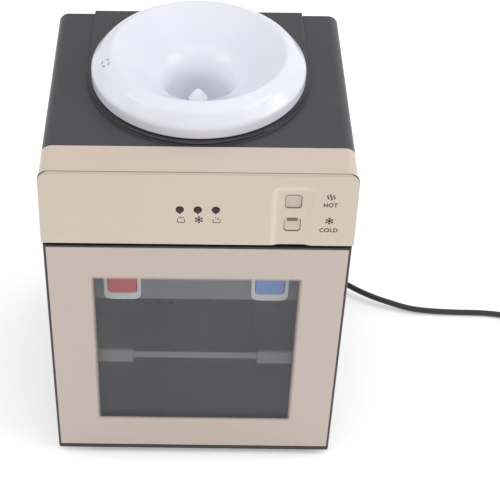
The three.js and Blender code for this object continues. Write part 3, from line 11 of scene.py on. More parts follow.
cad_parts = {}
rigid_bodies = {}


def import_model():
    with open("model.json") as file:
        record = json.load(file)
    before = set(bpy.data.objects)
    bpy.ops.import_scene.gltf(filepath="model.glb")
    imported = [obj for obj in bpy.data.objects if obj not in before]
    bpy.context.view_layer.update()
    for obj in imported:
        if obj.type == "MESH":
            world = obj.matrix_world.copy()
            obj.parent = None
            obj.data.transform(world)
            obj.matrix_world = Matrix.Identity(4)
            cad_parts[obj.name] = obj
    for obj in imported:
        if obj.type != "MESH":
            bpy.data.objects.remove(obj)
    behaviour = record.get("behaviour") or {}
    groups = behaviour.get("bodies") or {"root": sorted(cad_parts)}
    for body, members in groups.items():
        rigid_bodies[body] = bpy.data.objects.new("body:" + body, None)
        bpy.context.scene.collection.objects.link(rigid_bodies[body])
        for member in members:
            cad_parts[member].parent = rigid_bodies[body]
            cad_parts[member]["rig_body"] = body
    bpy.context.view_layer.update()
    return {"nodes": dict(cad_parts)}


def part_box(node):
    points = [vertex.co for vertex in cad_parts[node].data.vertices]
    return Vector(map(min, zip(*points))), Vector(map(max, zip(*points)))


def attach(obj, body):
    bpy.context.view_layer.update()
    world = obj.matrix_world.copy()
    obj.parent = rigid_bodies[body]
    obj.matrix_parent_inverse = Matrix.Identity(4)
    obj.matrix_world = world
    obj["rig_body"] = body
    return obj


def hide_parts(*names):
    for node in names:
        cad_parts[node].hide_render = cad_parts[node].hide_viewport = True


bl_info = {
    "name": "Countertop Water Dispenser",
    "version": (1, 0, 0),
    "blender": (4, 5, 0),
    "location": "View3D > Sidebar > Dispenser",
    "description": "Builds the visible pieces and finishes of a countertop water dispenser",
    "category": "Object",
}

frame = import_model()
NODES = frame["nodes"]
MM = 0.001

PANEL_LOW, PANEL_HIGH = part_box("control_panel")
SEAT_LOW, SEAT_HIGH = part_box("bottle_seat")
PROBE_LOW, PROBE_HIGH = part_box("probe")
WINDOW_LOW, WINDOW_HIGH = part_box("door_window")
REAR_LOW, REAR_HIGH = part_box("rear_panel")
COIL_LOW, COIL_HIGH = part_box("cord_coil")
GLAND_LOW, GLAND_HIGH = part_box("cord_gland")
PANEL_TILT = math.radians(4.7)
UPRIGHT = Matrix.Rotation(math.pi / 2, 4, "X")
BACKWARDS = Matrix.Rotation(-math.pi / 2, 4, "X")
INK_THICKNESS = 0.08 * MM
INK_BOLD = 0.12 * MM
CAP_SHARE = 0.72

# The lead's route from its strain relief to its coil, in millimetres.
LEAD_ROUTE = [
    (70, 164.6, 40), (70.8, 171, 39.5), (75, 183, 36.5), (86, 193.5, 31.5), (102, 197, 26),
    (120, 190, 21), (137, 174, 17.5), (155, 154, 15), (174, 134, 14), (193, 118, 13),
    (218, 102.6, 11), (243, 92.8, 8.5), (267, 86.5, 5.6), (292, 84, 4.1), (325, 82.5, 3.8),
    (358, 81.5, 3.8), (385, 77.3, 3.8), (409.6, 69.6, 3.8),
]
COIL_OUTER = 47.2 * MM
COIL_INNER = 32.7 * MM
COIL_LOW_Z = 4.2 * MM
COIL_HIGH_Z = 11.5 * MM
COIL_START = math.radians(-115.5)
COIL_END = math.radians(-10)
LAYER_TURNS = 2
CLIMB_TURNS = (COIL_END - COIL_START) / (2 * math.pi)
COIL_POINTS_PER_TURN = 16
PLUG_AXIS_Z = 10 * MM
PLUG_RUN = 30 * MM


# ---- sizes and colours that a user would change ----
def tint_setting(name, description, default):
    return bpy.props.FloatVectorProperty(
        name=name, description=description, subtype="COLOR", size=3, min=0, max=1, default=default)


def length_setting(name, description, default):
    return bpy.props.FloatProperty(
        name=name, description=description, default=default, min=0, subtype="DISTANCE", unit="LENGTH")


class DispenserShell(bpy.types.PropertyGroup):
    """Colours and edge sizes of the outer shell"""
    case: tint_setting("Case", "Colour of the dark moulded case", (0.051, 0.051, 0.058))
    head: tint_setting("Head", "Colour of the paint on the head", (0.67, 0.565, 0.482))
    panel: tint_setting("Panel", "Colour of the paint on the control panel", (0.59, 0.51, 0.423))
    door: tint_setting("Door", "Colour of the print on the door", (0.51, 0.423, 0.374))
    trim: tint_setting("Trim", "Colour of the black trim", (0.02, 0.02, 0.023))
    edge: length_setting("Edge", "Radius worn on the edges of the moulded panels", 0.9 * MM)


class DispenserWater(bpy.types.PropertyGroup):
    """Colours of the seat, the taps and the cup chamber"""
    seat: tint_setting("Seat", "Colour of the bottle seat", (0.76, 0.765, 0.845))
    hot: tint_setting("Hot", "Colour of the hot tap's lever", (0.85, 0.03, 0.055))
    cold: tint_setting("Cold", "Colour of the cold tap's lever", (0.2, 0.42, 1.0))
    liner: tint_setting("Liner", "Colour of the chamber's liner", (0.05, 0.052, 0.056))
    glass: tint_setting("Glass", "Colour of the haze in the smoked glass", (0.232, 0.232, 0.249))


class DispenserLead(bpy.types.PropertyGroup):
    """Colour and thickness of the power lead"""
    sheath: tint_setting("Sheath", "Colour of the lead", (0.02, 0.02, 0.024))
    diameter: length_setting("Diameter", "Diameter of the lead", 7 * MM)


# ---- shader helpers ----
class Term:
    """A number inside a material: a socket whose expressions add Math nodes."""

    def __init__(self, finish, socket):
        self.finish = finish
        self.socket = socket

    def maths(self, operation, first, second):
        node = self.finish.node("ShaderNodeMath", {"operation": operation}, {0: first, 1: second})
        return Term(self.finish, node.outputs[0])

    def __add__(self, other):
        return self.maths("ADD", self, other)

    __radd__ = __add__

    def __sub__(self, other):
        return self.maths("SUBTRACT", self, other)

    def __rsub__(self, other):
        return self.maths("SUBTRACT", other, self)

    def __mul__(self, other):
        return self.maths("MULTIPLY", self, other)

    __rmul__ = __mul__

    def ramp(self, low, high):
        """0 at low, 1 at high and even between them, whichever is the greater."""
        values = {"Value": self, "From Min": low, "From Max": high}
        node = self.finish.node("ShaderNodeMapRange", {"clamp": True}, values)
        return Term(self.finish, node.outputs["Result"])


class Finish:
    """One material with a Principled shader, and short ways to add to it."""

    def __init__(self, name, tint, roughness, **constants):
        self.tint = tint
        self.material = bpy.data.materials.new(name)
        self.material.use_nodes = True
        self.tree = self.material.node_tree
        self.shader = self.tree.nodes["Principled BSDF"]
        self.shader.inputs["Base Color"].default_value = (*tint, 1)
        self.shader.inputs["Roughness"].default_value = roughness
        for socket, value in constants.items():
            self.shader.inputs[socket.replace("_", " ")].default_value = value
        self.place = self.node("ShaderNodeTexCoord").outputs["Object"]

    def node(self, kind, settings=None, values=None):
        """Adds a node: its settings first, then the values or links of its sockets."""
        node = self.tree.nodes.new(kind)
        for key, value in (settings or {}).items():
            setattr(node, key, value)
        for key, value in (values or {}).items():
            self.fill(node.inputs[key], value)
        return node

    def fill(self, socket, value):
        if isinstance(value, Term):
            value = value.socket
        if isinstance(value, bpy.types.NodeSocket):
            self.tree.links.new(value, socket)
        else:
            socket.default_value = value

    def feed(self, socket, value):
        self.fill(self.shader.inputs[socket], value)
        return self

    def noise(self, scale, detail=2, roughness=0.5, stretch=(1, 1, 1)):
        place = self.node("ShaderNodeMapping", None, {"Vector": self.place, "Scale": stretch})
        values = {"Vector": place.outputs[0], "Scale": scale, "Detail": detail, "Roughness": roughness}
        return Term(self, self.node("ShaderNodeTexNoise", None, values).outputs[0])

    def cells(self, scale):
        values = {"Vector": self.place, "Scale": scale}
        return Term(self, self.node("ShaderNodeTexVoronoi", None, values).outputs["Distance"])

    def along(self, axis):
        """How far along an axis of the object a point lies."""
        return Term(self, self.node("ShaderNodeSeparateXYZ", None, {0: self.place}).outputs[axis])

    def blend(self, amount, first, second):
        values = {0: amount, 6: (*first, 1), 7: (*second, 1)}
        return self.node("ShaderNodeMix", {"data_type": "RGBA"}, values).outputs[2]

    def mottle(self, amount, low, high):
        """Shades the tint between two shares of itself."""
        dark, light = shade(self.tint, low), shade(self.tint, high)
        return self.feed("Base Color", self.blend(amount, dark, light))

    def bump(self, height, strength, distance):
        values = {"Height": height, "Strength": strength, "Distance": distance}
        return self.feed("Normal", self.node("ShaderNodeBump", None, values).outputs[0])


def shade(tint, share):
    """A colour made lighter or darker by a share."""
    return tuple(min(1, channel * share) for channel in tint)


# ---- finishes ----
def moulded_plastic(name, tint, roughness, grain=2000, depth=0.25, drift=0.12):
    """Satin moulded plastic: a spark-eroded grain, with slow changes in shade and gloss."""
    finish = Finish(name, tint, roughness, Specular_IOR_Level=0.45)
    cloud = finish.noise(14, 3)
    finish.mottle(cloud, 1 - drift, 1 + drift)
    finish.feed("Roughness", roughness - 0.05 + cloud * 0.1)
    return finish.bump(finish.noise(grain, 2), depth, 0.05 * MM).material


def champagne_paint(name, tint, roughness, coat, worn=None):
    """Satin metallic paint: flakes that shimmer over a drift of shade, and paler where a given mask is
    high, which paints a highlight.
    """
    finish = Finish(name, tint, roughness, Metallic=0.35, Specular_IOR_Level=0.4,
                    Coat_Weight=coat, Coat_Roughness=0.12)
    flakes = finish.cells(5200).ramp(0.1, 0.75)
    cloud = finish.noise(9, 3)
    mix = flakes * 0.3 + cloud * 0.2
    # The mask paints a highlight: the paint goes paler on the lit slopes round the switches.
    if worn:
        mix = mix + worn(finish) * 0.5
    finish.mottle(mix, 0.94, 1.18)
    finish.feed("Roughness", roughness - 0.04 + cloud * 0.08)
    return finish.bump(finish.noise(3200, 2), 0.1, 0.03 * MM).material


def slope_highlight(finish):
    """1 along the slope that leads round to the switches from the left and from above, else 0: the
    mask of a painted highlight on the slopes that catch the light.
    """
    turn, left, top = 4.5 * MM, 76.2 * MM, 376.5 * MM
    edge, core = 3.6 * MM, 1.2 * MM
    fades_from, gone_by = 98 * MM, 112 * MM
    x, z = finish.along("X"), finish.along("Z")
    across = x.maths("MAXIMUM", left - x, 0)
    up = z.maths("MAXIMUM", z - top, 0)
    reach = x.maths("POWER", across * across + up * up, 0.5)
    off = x.maths("ABSOLUTE", reach - turn, 0)
    return off.ramp(edge, core) * x.ramp(gone_by, fades_from)


def throat_light_mask(finish):
    """1 down in the seat's throat and 0 above it: the mask of painted light in the throat."""
    lip, floor = 405 * MM, 388 * MM
    return finish.along("Z").ramp(lip, floor)


def gloss_plastic(name, tint, roughness=0.16, coat=0.3, pale=None, throat_light_tint=None):
    """Glossy moulded plastic: soft orange peel, handling marks, and, where a mask is given, a paler
    tint that is painted light.
    """
    finish = Finish(name, tint, roughness, Specular_IOR_Level=0.5, Coat_Weight=coat,
                    Coat_Roughness=0.06)
    cloud = finish.noise(22, 4)
    # Painted light: where the mask is high the plastic is painted towards a paler, bluer tint.
    if pale:
        finish.feed("Base Color", finish.blend(pale(finish), shade(tint, 0.995), throat_light_tint))
    else:
        finish.mottle(cloud, 0.985, 1.01)
    finish.feed("Roughness", roughness - 0.03 + cloud * 0.07)
    return finish.bump(finish.noise(90, 2), 0.04, 0.2 * MM).material


def smoked_glass(name, tint):
    """Smoked glass: a hazy film that hides most of what is behind, under a polished face."""
    finish = Finish(name, tint, 0.14, Specular_IOR_Level=0.35)
    smear = finish.noise(16, 4, 0.6, (1, 1, 0.5))
    finish.mottle(smear, 0.93, 1.07)
    finish.feed("Roughness", 0.12 + smear * 0.1)
    return finish.feed("Alpha", 0.15 + smear * 0.12).material


def dark_lens(name):
    """A dark translucent lens over an unlit lamp."""
    finish = Finish(name, (0.03, 0.011, 0.011), 0.1, Specular_IOR_Level=0.4)
    return finish.feed("Roughness", 0.07 + finish.noise(300, 2) * 0.08).material


def print_ink(name, tint):
    """Screen-printed ink, a little uneven in its cover."""
    finish = Finish(name, tint, 0.55, Specular_IOR_Level=0.2)
    return finish.mottle(finish.noise(900, 3), 0.8, 1.2).material


def vinyl(name, tint, roughness=0.42):
    """Soft vinyl: faint ripples of the extrusion and a dusty sheen."""
    finish = Finish(name, tint, roughness, Specular_IOR_Level=0.5)
    cloud = finish.noise(60, 3)
    finish.mottle(cloud, 0.8, 1.35)
    finish.feed("Roughness", roughness - 0.06 + cloud * 0.14)
    return finish.bump(finish.noise(1500, 2), 0.2, 0.05 * MM).material


def matt_rubber(name):
    """Matt rubber with a chalky bloom."""
    finish = Finish(name, (0.016, 0.016, 0.017), 0.8)
    bloom = finish.noise(70, 5)
    finish.feed("Base Color", finish.blend(bloom, (0.01, 0.01, 0.011), (0.03, 0.03, 0.031)))
    return finish.bump(finish.noise(2000, 2), 0.3, 0.08 * MM).material


def brushed_metal(name, tint, stretch, roughness=0.3):
    """Metal with fine brush lines along one direction."""
    finish = Finish(name, tint, roughness, Metallic=1.0)
    lines = finish.noise(900, 3, 0.6, stretch)
    finish.mottle(lines, 0.85, 1.1)
    finish.feed("Roughness", roughness - 0.08 + lines * 0.2)
    return finish.bump(lines, 0.12, 0.03 * MM).material


def bead_foam(name):
    """White expanded foam with its beads showing, painted darker towards the edge of each bead, partly
    the gaps between them and partly painted shade.
    """
    finish = Finish(name, (0.78, 0.78, 0.75), 0.85)
    beads = finish.cells(330)
    finish.feed("Base Color", finish.blend(beads, (0.84, 0.84, 0.81), (0.62, 0.62, 0.6)))
    return finish.bump(1 - beads, 0.5, 0.8 * MM).material


def milky_silicone(name):
    """Milky silicone with a soft drag in its gloss."""
    finish = Finish(name, (0.62, 0.63, 0.6), 0.38, Subsurface_Weight=0.3, Subsurface_Scale=0.003)
    return finish.feed("Roughness", 0.32 + finish.noise(120, 3) * 0.15).material


def solder_mask(name):
    """A green circuit board with faint copper tracks under its mask."""
    finish = Finish(name, (0.012, 0.1, 0.045), 0.42, Coat_Weight=0.4)
    tracks = finish.noise(420, 0, 0.5, (1, 0.2, 1)).ramp(0.5, 0.56)
    finish.feed("Base Color", finish.blend(tracks, (0.01, 0.085, 0.035), (0.03, 0.17, 0.07)))
    return finish.material


def pale_table(name):
    """The plain pale table that the dispenser stands on."""
    finish = Finish(name, (0.96, 0.96, 0.96), 0.7, Specular_IOR_Level=0.1,
                    Emission_Color=(1, 1, 1, 1), Emission_Strength=0.24)
    cloud = finish.noise(3, 2)
    finish.feed("Base Color", finish.blend(cloud, (0.955, 0.955, 0.96), (0.97, 0.97, 0.97)))
    return finish.material


FINISHES = {}


def make_finishes(scene):
    """Fills the table of materials, by record slot or by a name of their own."""
    shell, water, lead = scene.dispenser_shell, scene.dispenser_water, scene.dispenser_lead
    liner = tuple(water.liner)
    upright, sideways = (1, 1, 0.03), (1, 0.05, 1)
    FINISHES.update({
        "dark_case": moulded_plastic("case plastic", tuple(shell.case), 0.4, 1900, 0.3),
        "champagne": champagne_paint("champagne paint", tuple(shell.head), 0.42, 0.1),
        # The panel's paint is painted paler along the left and top slopes round the switches: a
        # painted highlight.
        "panel_paint": champagne_paint("panel champagne paint", tuple(shell.panel), 0.42, 0.1,
                                       slope_highlight),
        "door_print": champagne_paint("door champagne print", tuple(shell.door), 0.4, 0.3),
        "smoked_glass": smoked_glass("smoked glass", tuple(water.glass)),
        "black_trim": moulded_plastic("black trim plastic", tuple(shell.trim), 0.42),
        "liner": moulded_plastic("liner plastic", liner, 0.5, 1500, 0.3),
        # A copy of the liner, 4.9 times lighter: painted light on the fascia, the shelf and the tray's
        # rim, which face the front.
        "lit_liner": moulded_plastic("liner plastic with painted light", shade(liner, 4.9), 0.5, 1500, 0.3),
        # Down in its throat the seat is painted paler and bluer: painted light for the light that
        # bounces round the throat.
        "white_plastic": gloss_plastic("white seat plastic", tuple(water.seat), 0.2, 0.15,
                                       throat_light_mask, (0.85, 0.865, 0.93)),
        "tap_white": gloss_plastic("tap plastic", (0.96, 0.97, 0.96), 0.25),
        "hot_red": gloss_plastic("hot lever plastic", tuple(water.hot), 0.22),
        "cold_blue": gloss_plastic("cold lever plastic", tuple(water.cold), 0.22),
        # The hot key's finish is a darker copy of the panel's paint: painted shade for its tilted
        # face.
        "rocker": moulded_plastic("rocker plastic with painted shade", (0.54, 0.46, 0.4), 0.35, 2600, 0.15, 0.05),
        "lens": dark_lens("indicator lens"),
        "ink": print_ink("panel ink", (0.008, 0.006, 0.005)),
        # Brown painted shade for the gaps: the seam under the head, the sleeves and housings round the
        # keys.
        "shadow_trim": moulded_plastic("brown painted gap shade", (0.055, 0.037, 0.029), 0.6),
        # Brown painted shadow on the pressed-in upper end of the cold key.
        "cold_key_shadow": moulded_plastic("brown painted key shadow", (0.2, 0.145, 0.115), 0.5),
        "bead": gloss_plastic("gloss black bead", (0.012, 0.012, 0.014), 0.2),
        "circuit_board": solder_mask("circuit board"),
        "steel": brushed_metal("brushed steel", (0.5, 0.51, 0.53), upright),
        "pins": brushed_metal("plated pins", (0.72, 0.7, 0.64), sideways, 0.22),
        "aluminium": brushed_metal("extruded aluminium", (0.62, 0.63, 0.65), upright, 0.4),
        "foam": bead_foam("bead foam"),
        "silicone": milky_silicone("silicone"),
        "rubber": matt_rubber("foot rubber"),
        "cord": vinyl("lead vinyl", tuple(lead.sheath)),
        "table": pale_table("pale table"),
    })


# ---- mesh helpers ----
def moved(x, y, z):
    return Matrix.Translation((x, y, z))


def turned(angle, axis):
    return Matrix.Rotation(angle, 4, axis)


def stored(mesh, name):
    """The mesh data of a bmesh, which is then freed."""
    data = bpy.data.meshes.new(name)
    mesh.to_mesh(data)
    mesh.free()
    return data


def close_up(mesh):
    """Merges doubles and turns every face outwards."""
    bmesh.ops.remove_doubles(mesh, verts=mesh.verts, dist=0.001 * MM)
    bmesh.ops.recalc_face_normals(mesh, faces=mesh.faces)


def finish_piece(name, mesh, body, slot, key=None, replaces=(), sharp=32):
    """Turns a bmesh into a finished piece, smooth but for the edges that turn by more than sharp."""
    for face in mesh.faces:
        face.smooth = True
    for edge in mesh.edges:
        edge.smooth = not (edge.is_manifold and edge.calc_face_angle(0) > math.radians(sharp))
    data = stored(mesh, name)
    piece = bpy.data.objects.new(name, data)
    bpy.context.scene.collection.objects.link(piece)
    data.materials.append(FINISHES[key or slot])
    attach(piece, body)
    if replaces:
        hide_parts(*replaces)
    return piece


def round_edges(piece, width, segments=3, angle=35):
    """A live bevel on every edge sharper than the angle, with the flats kept flat in shading."""
    bevel = piece.modifiers.new("worn edges", "BEVEL")
    bevel.width = width
    bevel.segments = segments
    bevel.limit_method = "ANGLE"
    bevel.angle_limit = math.radians(angle)
    bevel.use_clamp_overlap = True
    flats = piece.modifiers.new("flat faces", "WEIGHTED_NORMAL")
    flats.keep_sharp = True
    return piece


def softened(node, slot, width, key=None, segments=3, angle=35):
    """A moulded version of a CAD node: the same shape with rounded edges, which stands for it."""
    mesh = bmesh.new()
    mesh.from_mesh(NODES[node].data)
    bmesh.ops.remove_doubles(mesh, verts=mesh.verts, dist=0.002 * MM)
    bmesh.ops.dissolve_limit(mesh, angle_limit=math.radians(0.5), verts=mesh.verts, edges=mesh.edges)
    piece = finish_piece(node + "_shell", mesh, NODES[node]["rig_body"], slot, key, [node])
    return round_edges(piece, width, segments, angle)


def paint(slot, *nodes):
    """Gives CAD nodes that stay as they are their procedural material."""
    for node in nodes:
        slots = NODES[node].data.materials
        slots.clear()
        slots.append(FINISHES[slot])


def eased(corners, steps=6):
    """An outline whose corners (across, up, radius) are rounded, in millimetres."""
    points = [Vector(corner[:2]) for corner in corners]
    outline = []
    for i, point in enumerate(points):
        radius = corners[i][2] if len(corners[i]) > 2 else 0
        before, after = points[i - 1] - point, points[(i + 1) % len(points)] - point
        if not radius:
            outline.append(point)
            continue
        reach = min(radius, 0.48 * before.length, 0.48 * after.length)
        start, end = point + before.normalized() * reach, point + after.normalized() * reach
        for step in range(steps + 1):
            share = step / steps
            outline.append(start.lerp(point, share).lerp(point.lerp(end, share), share))
    return [(point.x * MM, point.y * MM) for point in outline]


def spun(profile, steps, closed=False):
    """A [radius, height] outline turned about the vertical axis through the origin."""
    mesh = bmesh.new()
    verts = [mesh.verts.new((radius, 0, height)) for radius, height in profile]
    pairs = list(zip(verts, verts[1:])) + ([(verts[-1], verts[0])] if closed else [])
    edges = [mesh.edges.new(pair) for pair in pairs]
    bmesh.ops.spin(mesh, geom=verts + edges, cent=(0, 0, 0), axis=(0, 0, 1),
                   angle=2 * math.pi, steps=steps, use_merge=True, use_duplicate=False)
    close_up(mesh)
    return mesh


def block(mesh, low, high, bevel=0, segments=3):
    """A box between two corners, with its edges bevelled."""
    low, high = Vector(low), Vector(high)
    verts = bmesh.ops.create_cube(mesh, size=1)["verts"]
    bmesh.ops.scale(mesh, vec=high - low, verts=verts)
    bmesh.ops.translate(mesh, vec=(low + high) / 2, verts=verts)
    if bevel:
        edges = list({edge for vert in verts for edge in vert.link_edges})
        verts = bmesh.ops.bevel(mesh, geom=edges, offset=bevel, segments=segments, profile=0.5,
                                affect="EDGES", material=-1, clamp_overlap=True)["verts"]
    return verts


def place(mesh, matrix, verts=None):
    bmesh.ops.transform(mesh, matrix=matrix, verts=verts or mesh.verts)


def mesh_of(data):
    """The bmesh of a curve or a text, which is then deleted."""
    holder = bpy.data.objects.new("drawn", data)
    drawn = bpy.data.meshes.new_from_object(holder)
    bpy.data.objects.remove(holder)
    bpy.data.curves.remove(data)
    mesh = bmesh.new()
    mesh.from_mesh(drawn)
    bpy.data.meshes.remove(drawn)
    return mesh


def add_to(mesh, other, matrix):
    """Joins another bmesh, moved by a matrix, to this one."""
    place(other, matrix)
    data = stored(other, "joined")
    mesh.from_mesh(data)
    bpy.data.meshes.remove(data)


def strokes(lines, width, flat=True):
    """Round-ended strokes along lines of (across, up) points, in millimetres, pressed flat as ink."""
    data = bpy.data.curves.new("strokes", "CURVE")
    data.dimensions = "3D"
    data.bevel_depth = width * MM / 2
    data.bevel_resolution = 2
    data.use_fill_caps = True
    for line in lines:
        spline = data.splines.new("POLY")
        spline.points.add(len(line) - 1)
        for point, (x, z) in zip(spline.points, line):
            point.co = (x * MM, 0, z * MM, 1)
    mesh = mesh_of(data)
    if flat:
        bmesh.ops.scale(mesh, vec=(1, INK_THICKNESS / (width * MM), 1), verts=mesh.verts)
    return mesh


def lettering(text, height, stretch, spacing):
    """A word that stands upright in the x-z plane about its own middle."""
    data = bpy.data.curves.new("word", "FONT")
    data.body = text
    data.size = height / CAP_SHARE
    data.extrude = INK_THICKNESS / 2
    data.offset = INK_BOLD
    data.space_character = spacing
    data.align_x = "CENTER"
    data.align_y = "CENTER"
    mesh = mesh_of(data)
    place(mesh, UPRIGHT @ Matrix.Diagonal((stretch, 1, 1, 1)))
    return mesh


# ---- camera, table and lights ----
def add_camera(scene):
    data = bpy.data.cameras.new("camera")
    data.sensor_width = 36
    data.lens = 97.3
    data.shift_x = 0.145
    data.shift_y = -0.082
    camera = bpy.data.objects.new("camera", data)
    heading = turned(math.radians(0.52), "Z")
    elevation = turned(math.radians(49.1), "X")
    roll = turned(math.radians(0.3), "Z")
    camera.matrix_world = moved(-0.0104, -1.0968, 1.1903) @ heading @ elevation @ roll
    scene.collection.objects.link(camera)
    scene.camera = camera


def add_table(scene):
    mesh = bmesh.new()
    bmesh.ops.create_grid(mesh, x_segments=2, y_segments=2, size=6)
    data = stored(mesh, "table")
    data.materials.append(FINISHES["table"])
    table = bpy.data.objects.new("table", data)
    scene.collection.objects.link(table)


def add_light(scene, name, spot, aim, size, power):
    data = bpy.data.lights.new(name, "AREA")
    data.shape = "RECTANGLE"
    data.size, data.size_y = size
    data.energy = power
    light = bpy.data.objects.new(name, data)
    light.location = spot
    light.rotation_euler = (Vector(aim) - Vector(spot)).to_track_quat("-Z", "Y").to_euler()
    scene.collection.objects.link(light)


def add_lights(scene):
    world = bpy.data.worlds.new("studio")
    world.use_nodes = True
    world.node_tree.nodes["Background"].inputs["Color"].default_value = (1, 1, 1, 1)
    world.node_tree.nodes["Background"].inputs["Strength"].default_value = 0.63
    scene.world = world
    scene.view_settings.view_transform = "Standard"
    head, seat = (0, 0, 0.3), (0, 0.02, 0.42)
    add_light(scene, "overhead soft box", (0, -0.2, 2.5), head, (2.8, 2.8), 16)
    add_light(scene, "left lamp", (-1.5, -0.4, 1.75), seat, (1.2, 0.7), 5)
    add_light(scene, "right lamp", (1.5, -0.4, 1.75), seat, (1.2, 0.7), 6)
    add_light(scene, "left side box", (-1.8, 0, 0.8), head, (1.0, 0.8), 2)
    add_light(scene, "right side box", (1.8, -0.3, 0.8), head, (1.0, 0.8), 8)
    add_light(scene, "rear soft box", (1.1, 1.5, 0.9), head, (1.0, 1.0), 1)
    add_light(scene, "front soft box", (0, -2.1, 0.9), head, (1.6, 0.7), 2)


class DISPENSER_OT_stage(bpy.types.Operator):
    """Adds the finishes, the camera, the pale table and the soft lights"""
    bl_idname = "dispenser.stage"
    bl_label = "Stage"

    def execute(self, context):
        make_finishes(context.scene)
        add_camera(context.scene)
        add_table(context.scene)
        add_lights(context.scene)
        return {"FINISHED"}


# ---- lead ----
def round_coil(radius, angle, height):
    """A place at a radius and an angle about the coil's axis."""
    centre = (COIL_LOW + COIL_HIGH) / 2
    return Vector((centre.x + radius * math.cos(angle), centre.y + radius * math.sin(angle), height))


def coil_point(turns):
    """The lead's place after some turns of the coil: a layer inwards, a climb and a layer outwards."""
    pitch = (COIL_OUTER - COIL_INNER) / LAYER_TURNS
    climb = min(max((turns - LAYER_TURNS) / CLIMB_TURNS, 0), 1)
    if turns <= LAYER_TURNS:
        radius = COIL_OUTER - pitch * turns
    else:
        radius = COIL_INNER + pitch * max(turns - LAYER_TURNS - CLIMB_TURNS, 0)
    height = COIL_LOW_Z + (COIL_HIGH_Z - COIL_LOW_Z) * climb * climb * (3 - 2 * climb)
    return round_coil(radius, COIL_START + 2 * math.pi * turns, height)


def plug_place():
    """The plug's own frame: its guard's tip at the origin and its pins along y."""
    turn = turned(COIL_END, "Z")
    tip = round_coil(COIL_OUTER, COIL_END, PLUG_AXIS_Z) + turn @ Vector((0, PLUG_RUN, 0))
    return moved(*tip) @ turn


def lead_route():
    turns = 2 * LAYER_TURNS + CLIMB_TURNS
    steps = round(turns * COIL_POINTS_PER_TURN)
    route = [Vector(point) * MM for point in LEAD_ROUTE]
    route += [coil_point(turns * step / steps) for step in range(steps + 1)]
    tip = plug_place() @ Vector((0, 1.5 * MM, 0))
    route += [route[-1].lerp(tip, 0.5), tip]
    return route


def add_lead(diameter):
    data = bpy.data.curves.new("power_lead", "CURVE")
    data.dimensions = "3D"
    data.bevel_depth = diameter / 2
    data.bevel_resolution = 5
    data.resolution_u = 6
    data.use_fill_caps = True
    route = lead_route()
    spline = data.splines.new("BEZIER")
    spline.bezier_points.add(len(route) - 1)
    for point, spot in zip(spline.bezier_points, route):
        point.co = spot
        point.handle_left_type = point.handle_right_type = "AUTO"
    data.materials.append(FINISHES["cord"])
    lead = bpy.data.objects.new("power_lead", data)
    bpy.context.scene.collection.objects.link(lead)
    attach(lead, "case")
    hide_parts("power_cord", "cord_coil")
    return lead


def add_strain_relief():
    """The tapered sleeve where the lead leaves the case, with rings that let it bend."""
    collar, tip, start, rings = 8.5, 4.9, 4.0, 5
    reach = (GLAND_HIGH.y - REAR_HIGH.y) / MM
    neck = collar - 2
    outline = [(0, -9), (6.5, -9), (6.5, 0.3), (collar, 0.3, 0.6), (collar, 3, 1), (neck, start, 0.8)]
    pitch, step = (reach - start) / rings, (neck - tip) / rings
    for ring in range(rings):
        low = start + pitch * ring
        wide = neck - step * ring
        thin = wide - step
        outline += [(wide, low + 0.62 * pitch, 0.3), (wide - 1.1, low + 0.68 * pitch, 0.2),
                    (thin - 0.9, low + 0.94 * pitch, 0.2), (thin, low + pitch, 0.3)]
    outline += [(tip, reach + 1, 0.4), (3.3, reach + 1), (0, reach + 1)]
    mesh = spun(eased(outline, 3), 32)
    centre = (GLAND_LOW + GLAND_HIGH) / 2
    place(mesh, moved(centre.x, REAR_HIGH.y, centre.z) @ BACKWARDS)
    return finish_piece("strain_relief", mesh, "case", "rubber", replaces=["cord_gland"])


def add_plug():
    """The moulded plug: a waisted body with finger ribs, a ringed guard and three flat pins."""
    rear, front, half_wide, half_thick = 20, 54, 14, 10

    def full(y, waist):
        """The share of its full size that the body has at y: its waist at the rear, 1 further on."""
        return waist + (1 - waist) * min(1, (y - rear) / (front - rear) * 1.7)

    mesh = bmesh.new()
    low, high = Vector((-half_wide, rear, -half_thick)), Vector((half_wide, front, half_thick))
    for vert in block(mesh, low * MM, high * MM, 4.5 * MM, 5):
        y = vert.co.y / MM
        vert.co.x *= full(y, 0.72)
        vert.co.z *= full(y, 0.8)
    rib_size = Vector((0.9, 0.9, 6))
    for side in (-1, 1):
        for y in (27, 31.5, 36, 40.5):
            rib = Vector((side * (half_wide * full(y, 0.72) - 0.6), y, 0))
            block(mesh, (rib - rib_size) * MM, (rib + rib_size) * MM, 0.6 * MM, 2)
    outline = [(0, 0), (4.7, 0, 0.6)]
    for ring in range(4):
        y, wide = 3 + 4 * ring, 5.1 + 0.55 * ring
        outline += [(wide, y, 0.4), (wide, y + 2.2, 0.4),
                    (wide - 1.2, y + 2.6, 0.3), (wide - 1.0, y + 3.6, 0.3)]
    outline += [(7, 20), (7, 22), (0, 22)]
    add_to(mesh, spun(eased(outline, 3), 28), BACKWARDS)
    close_up(mesh)
    place(mesh, plug_place())
    body = finish_piece("plug_body", mesh, "case", "cord", replaces=["plug"])
    mesh = bmesh.new()
    for x, z, turn in ((-7.9, 2.4, -30), (7.9, 2.4, 30), (0, -4.4, 90)):
        pin = bmesh.new()
        block(pin, (-3.15 * MM, 53 * MM, -0.8 * MM), (3.15 * MM, 72 * MM, 0.8 * MM), 0.5 * MM, 2)
        add_to(mesh, pin, moved(x * MM, 0, z * MM) @ turned(math.radians(turn), "Y"))
    place(mesh, plug_place())
    return [body, finish_piece("plug_pins", mesh, "case", "steel", "pins")]


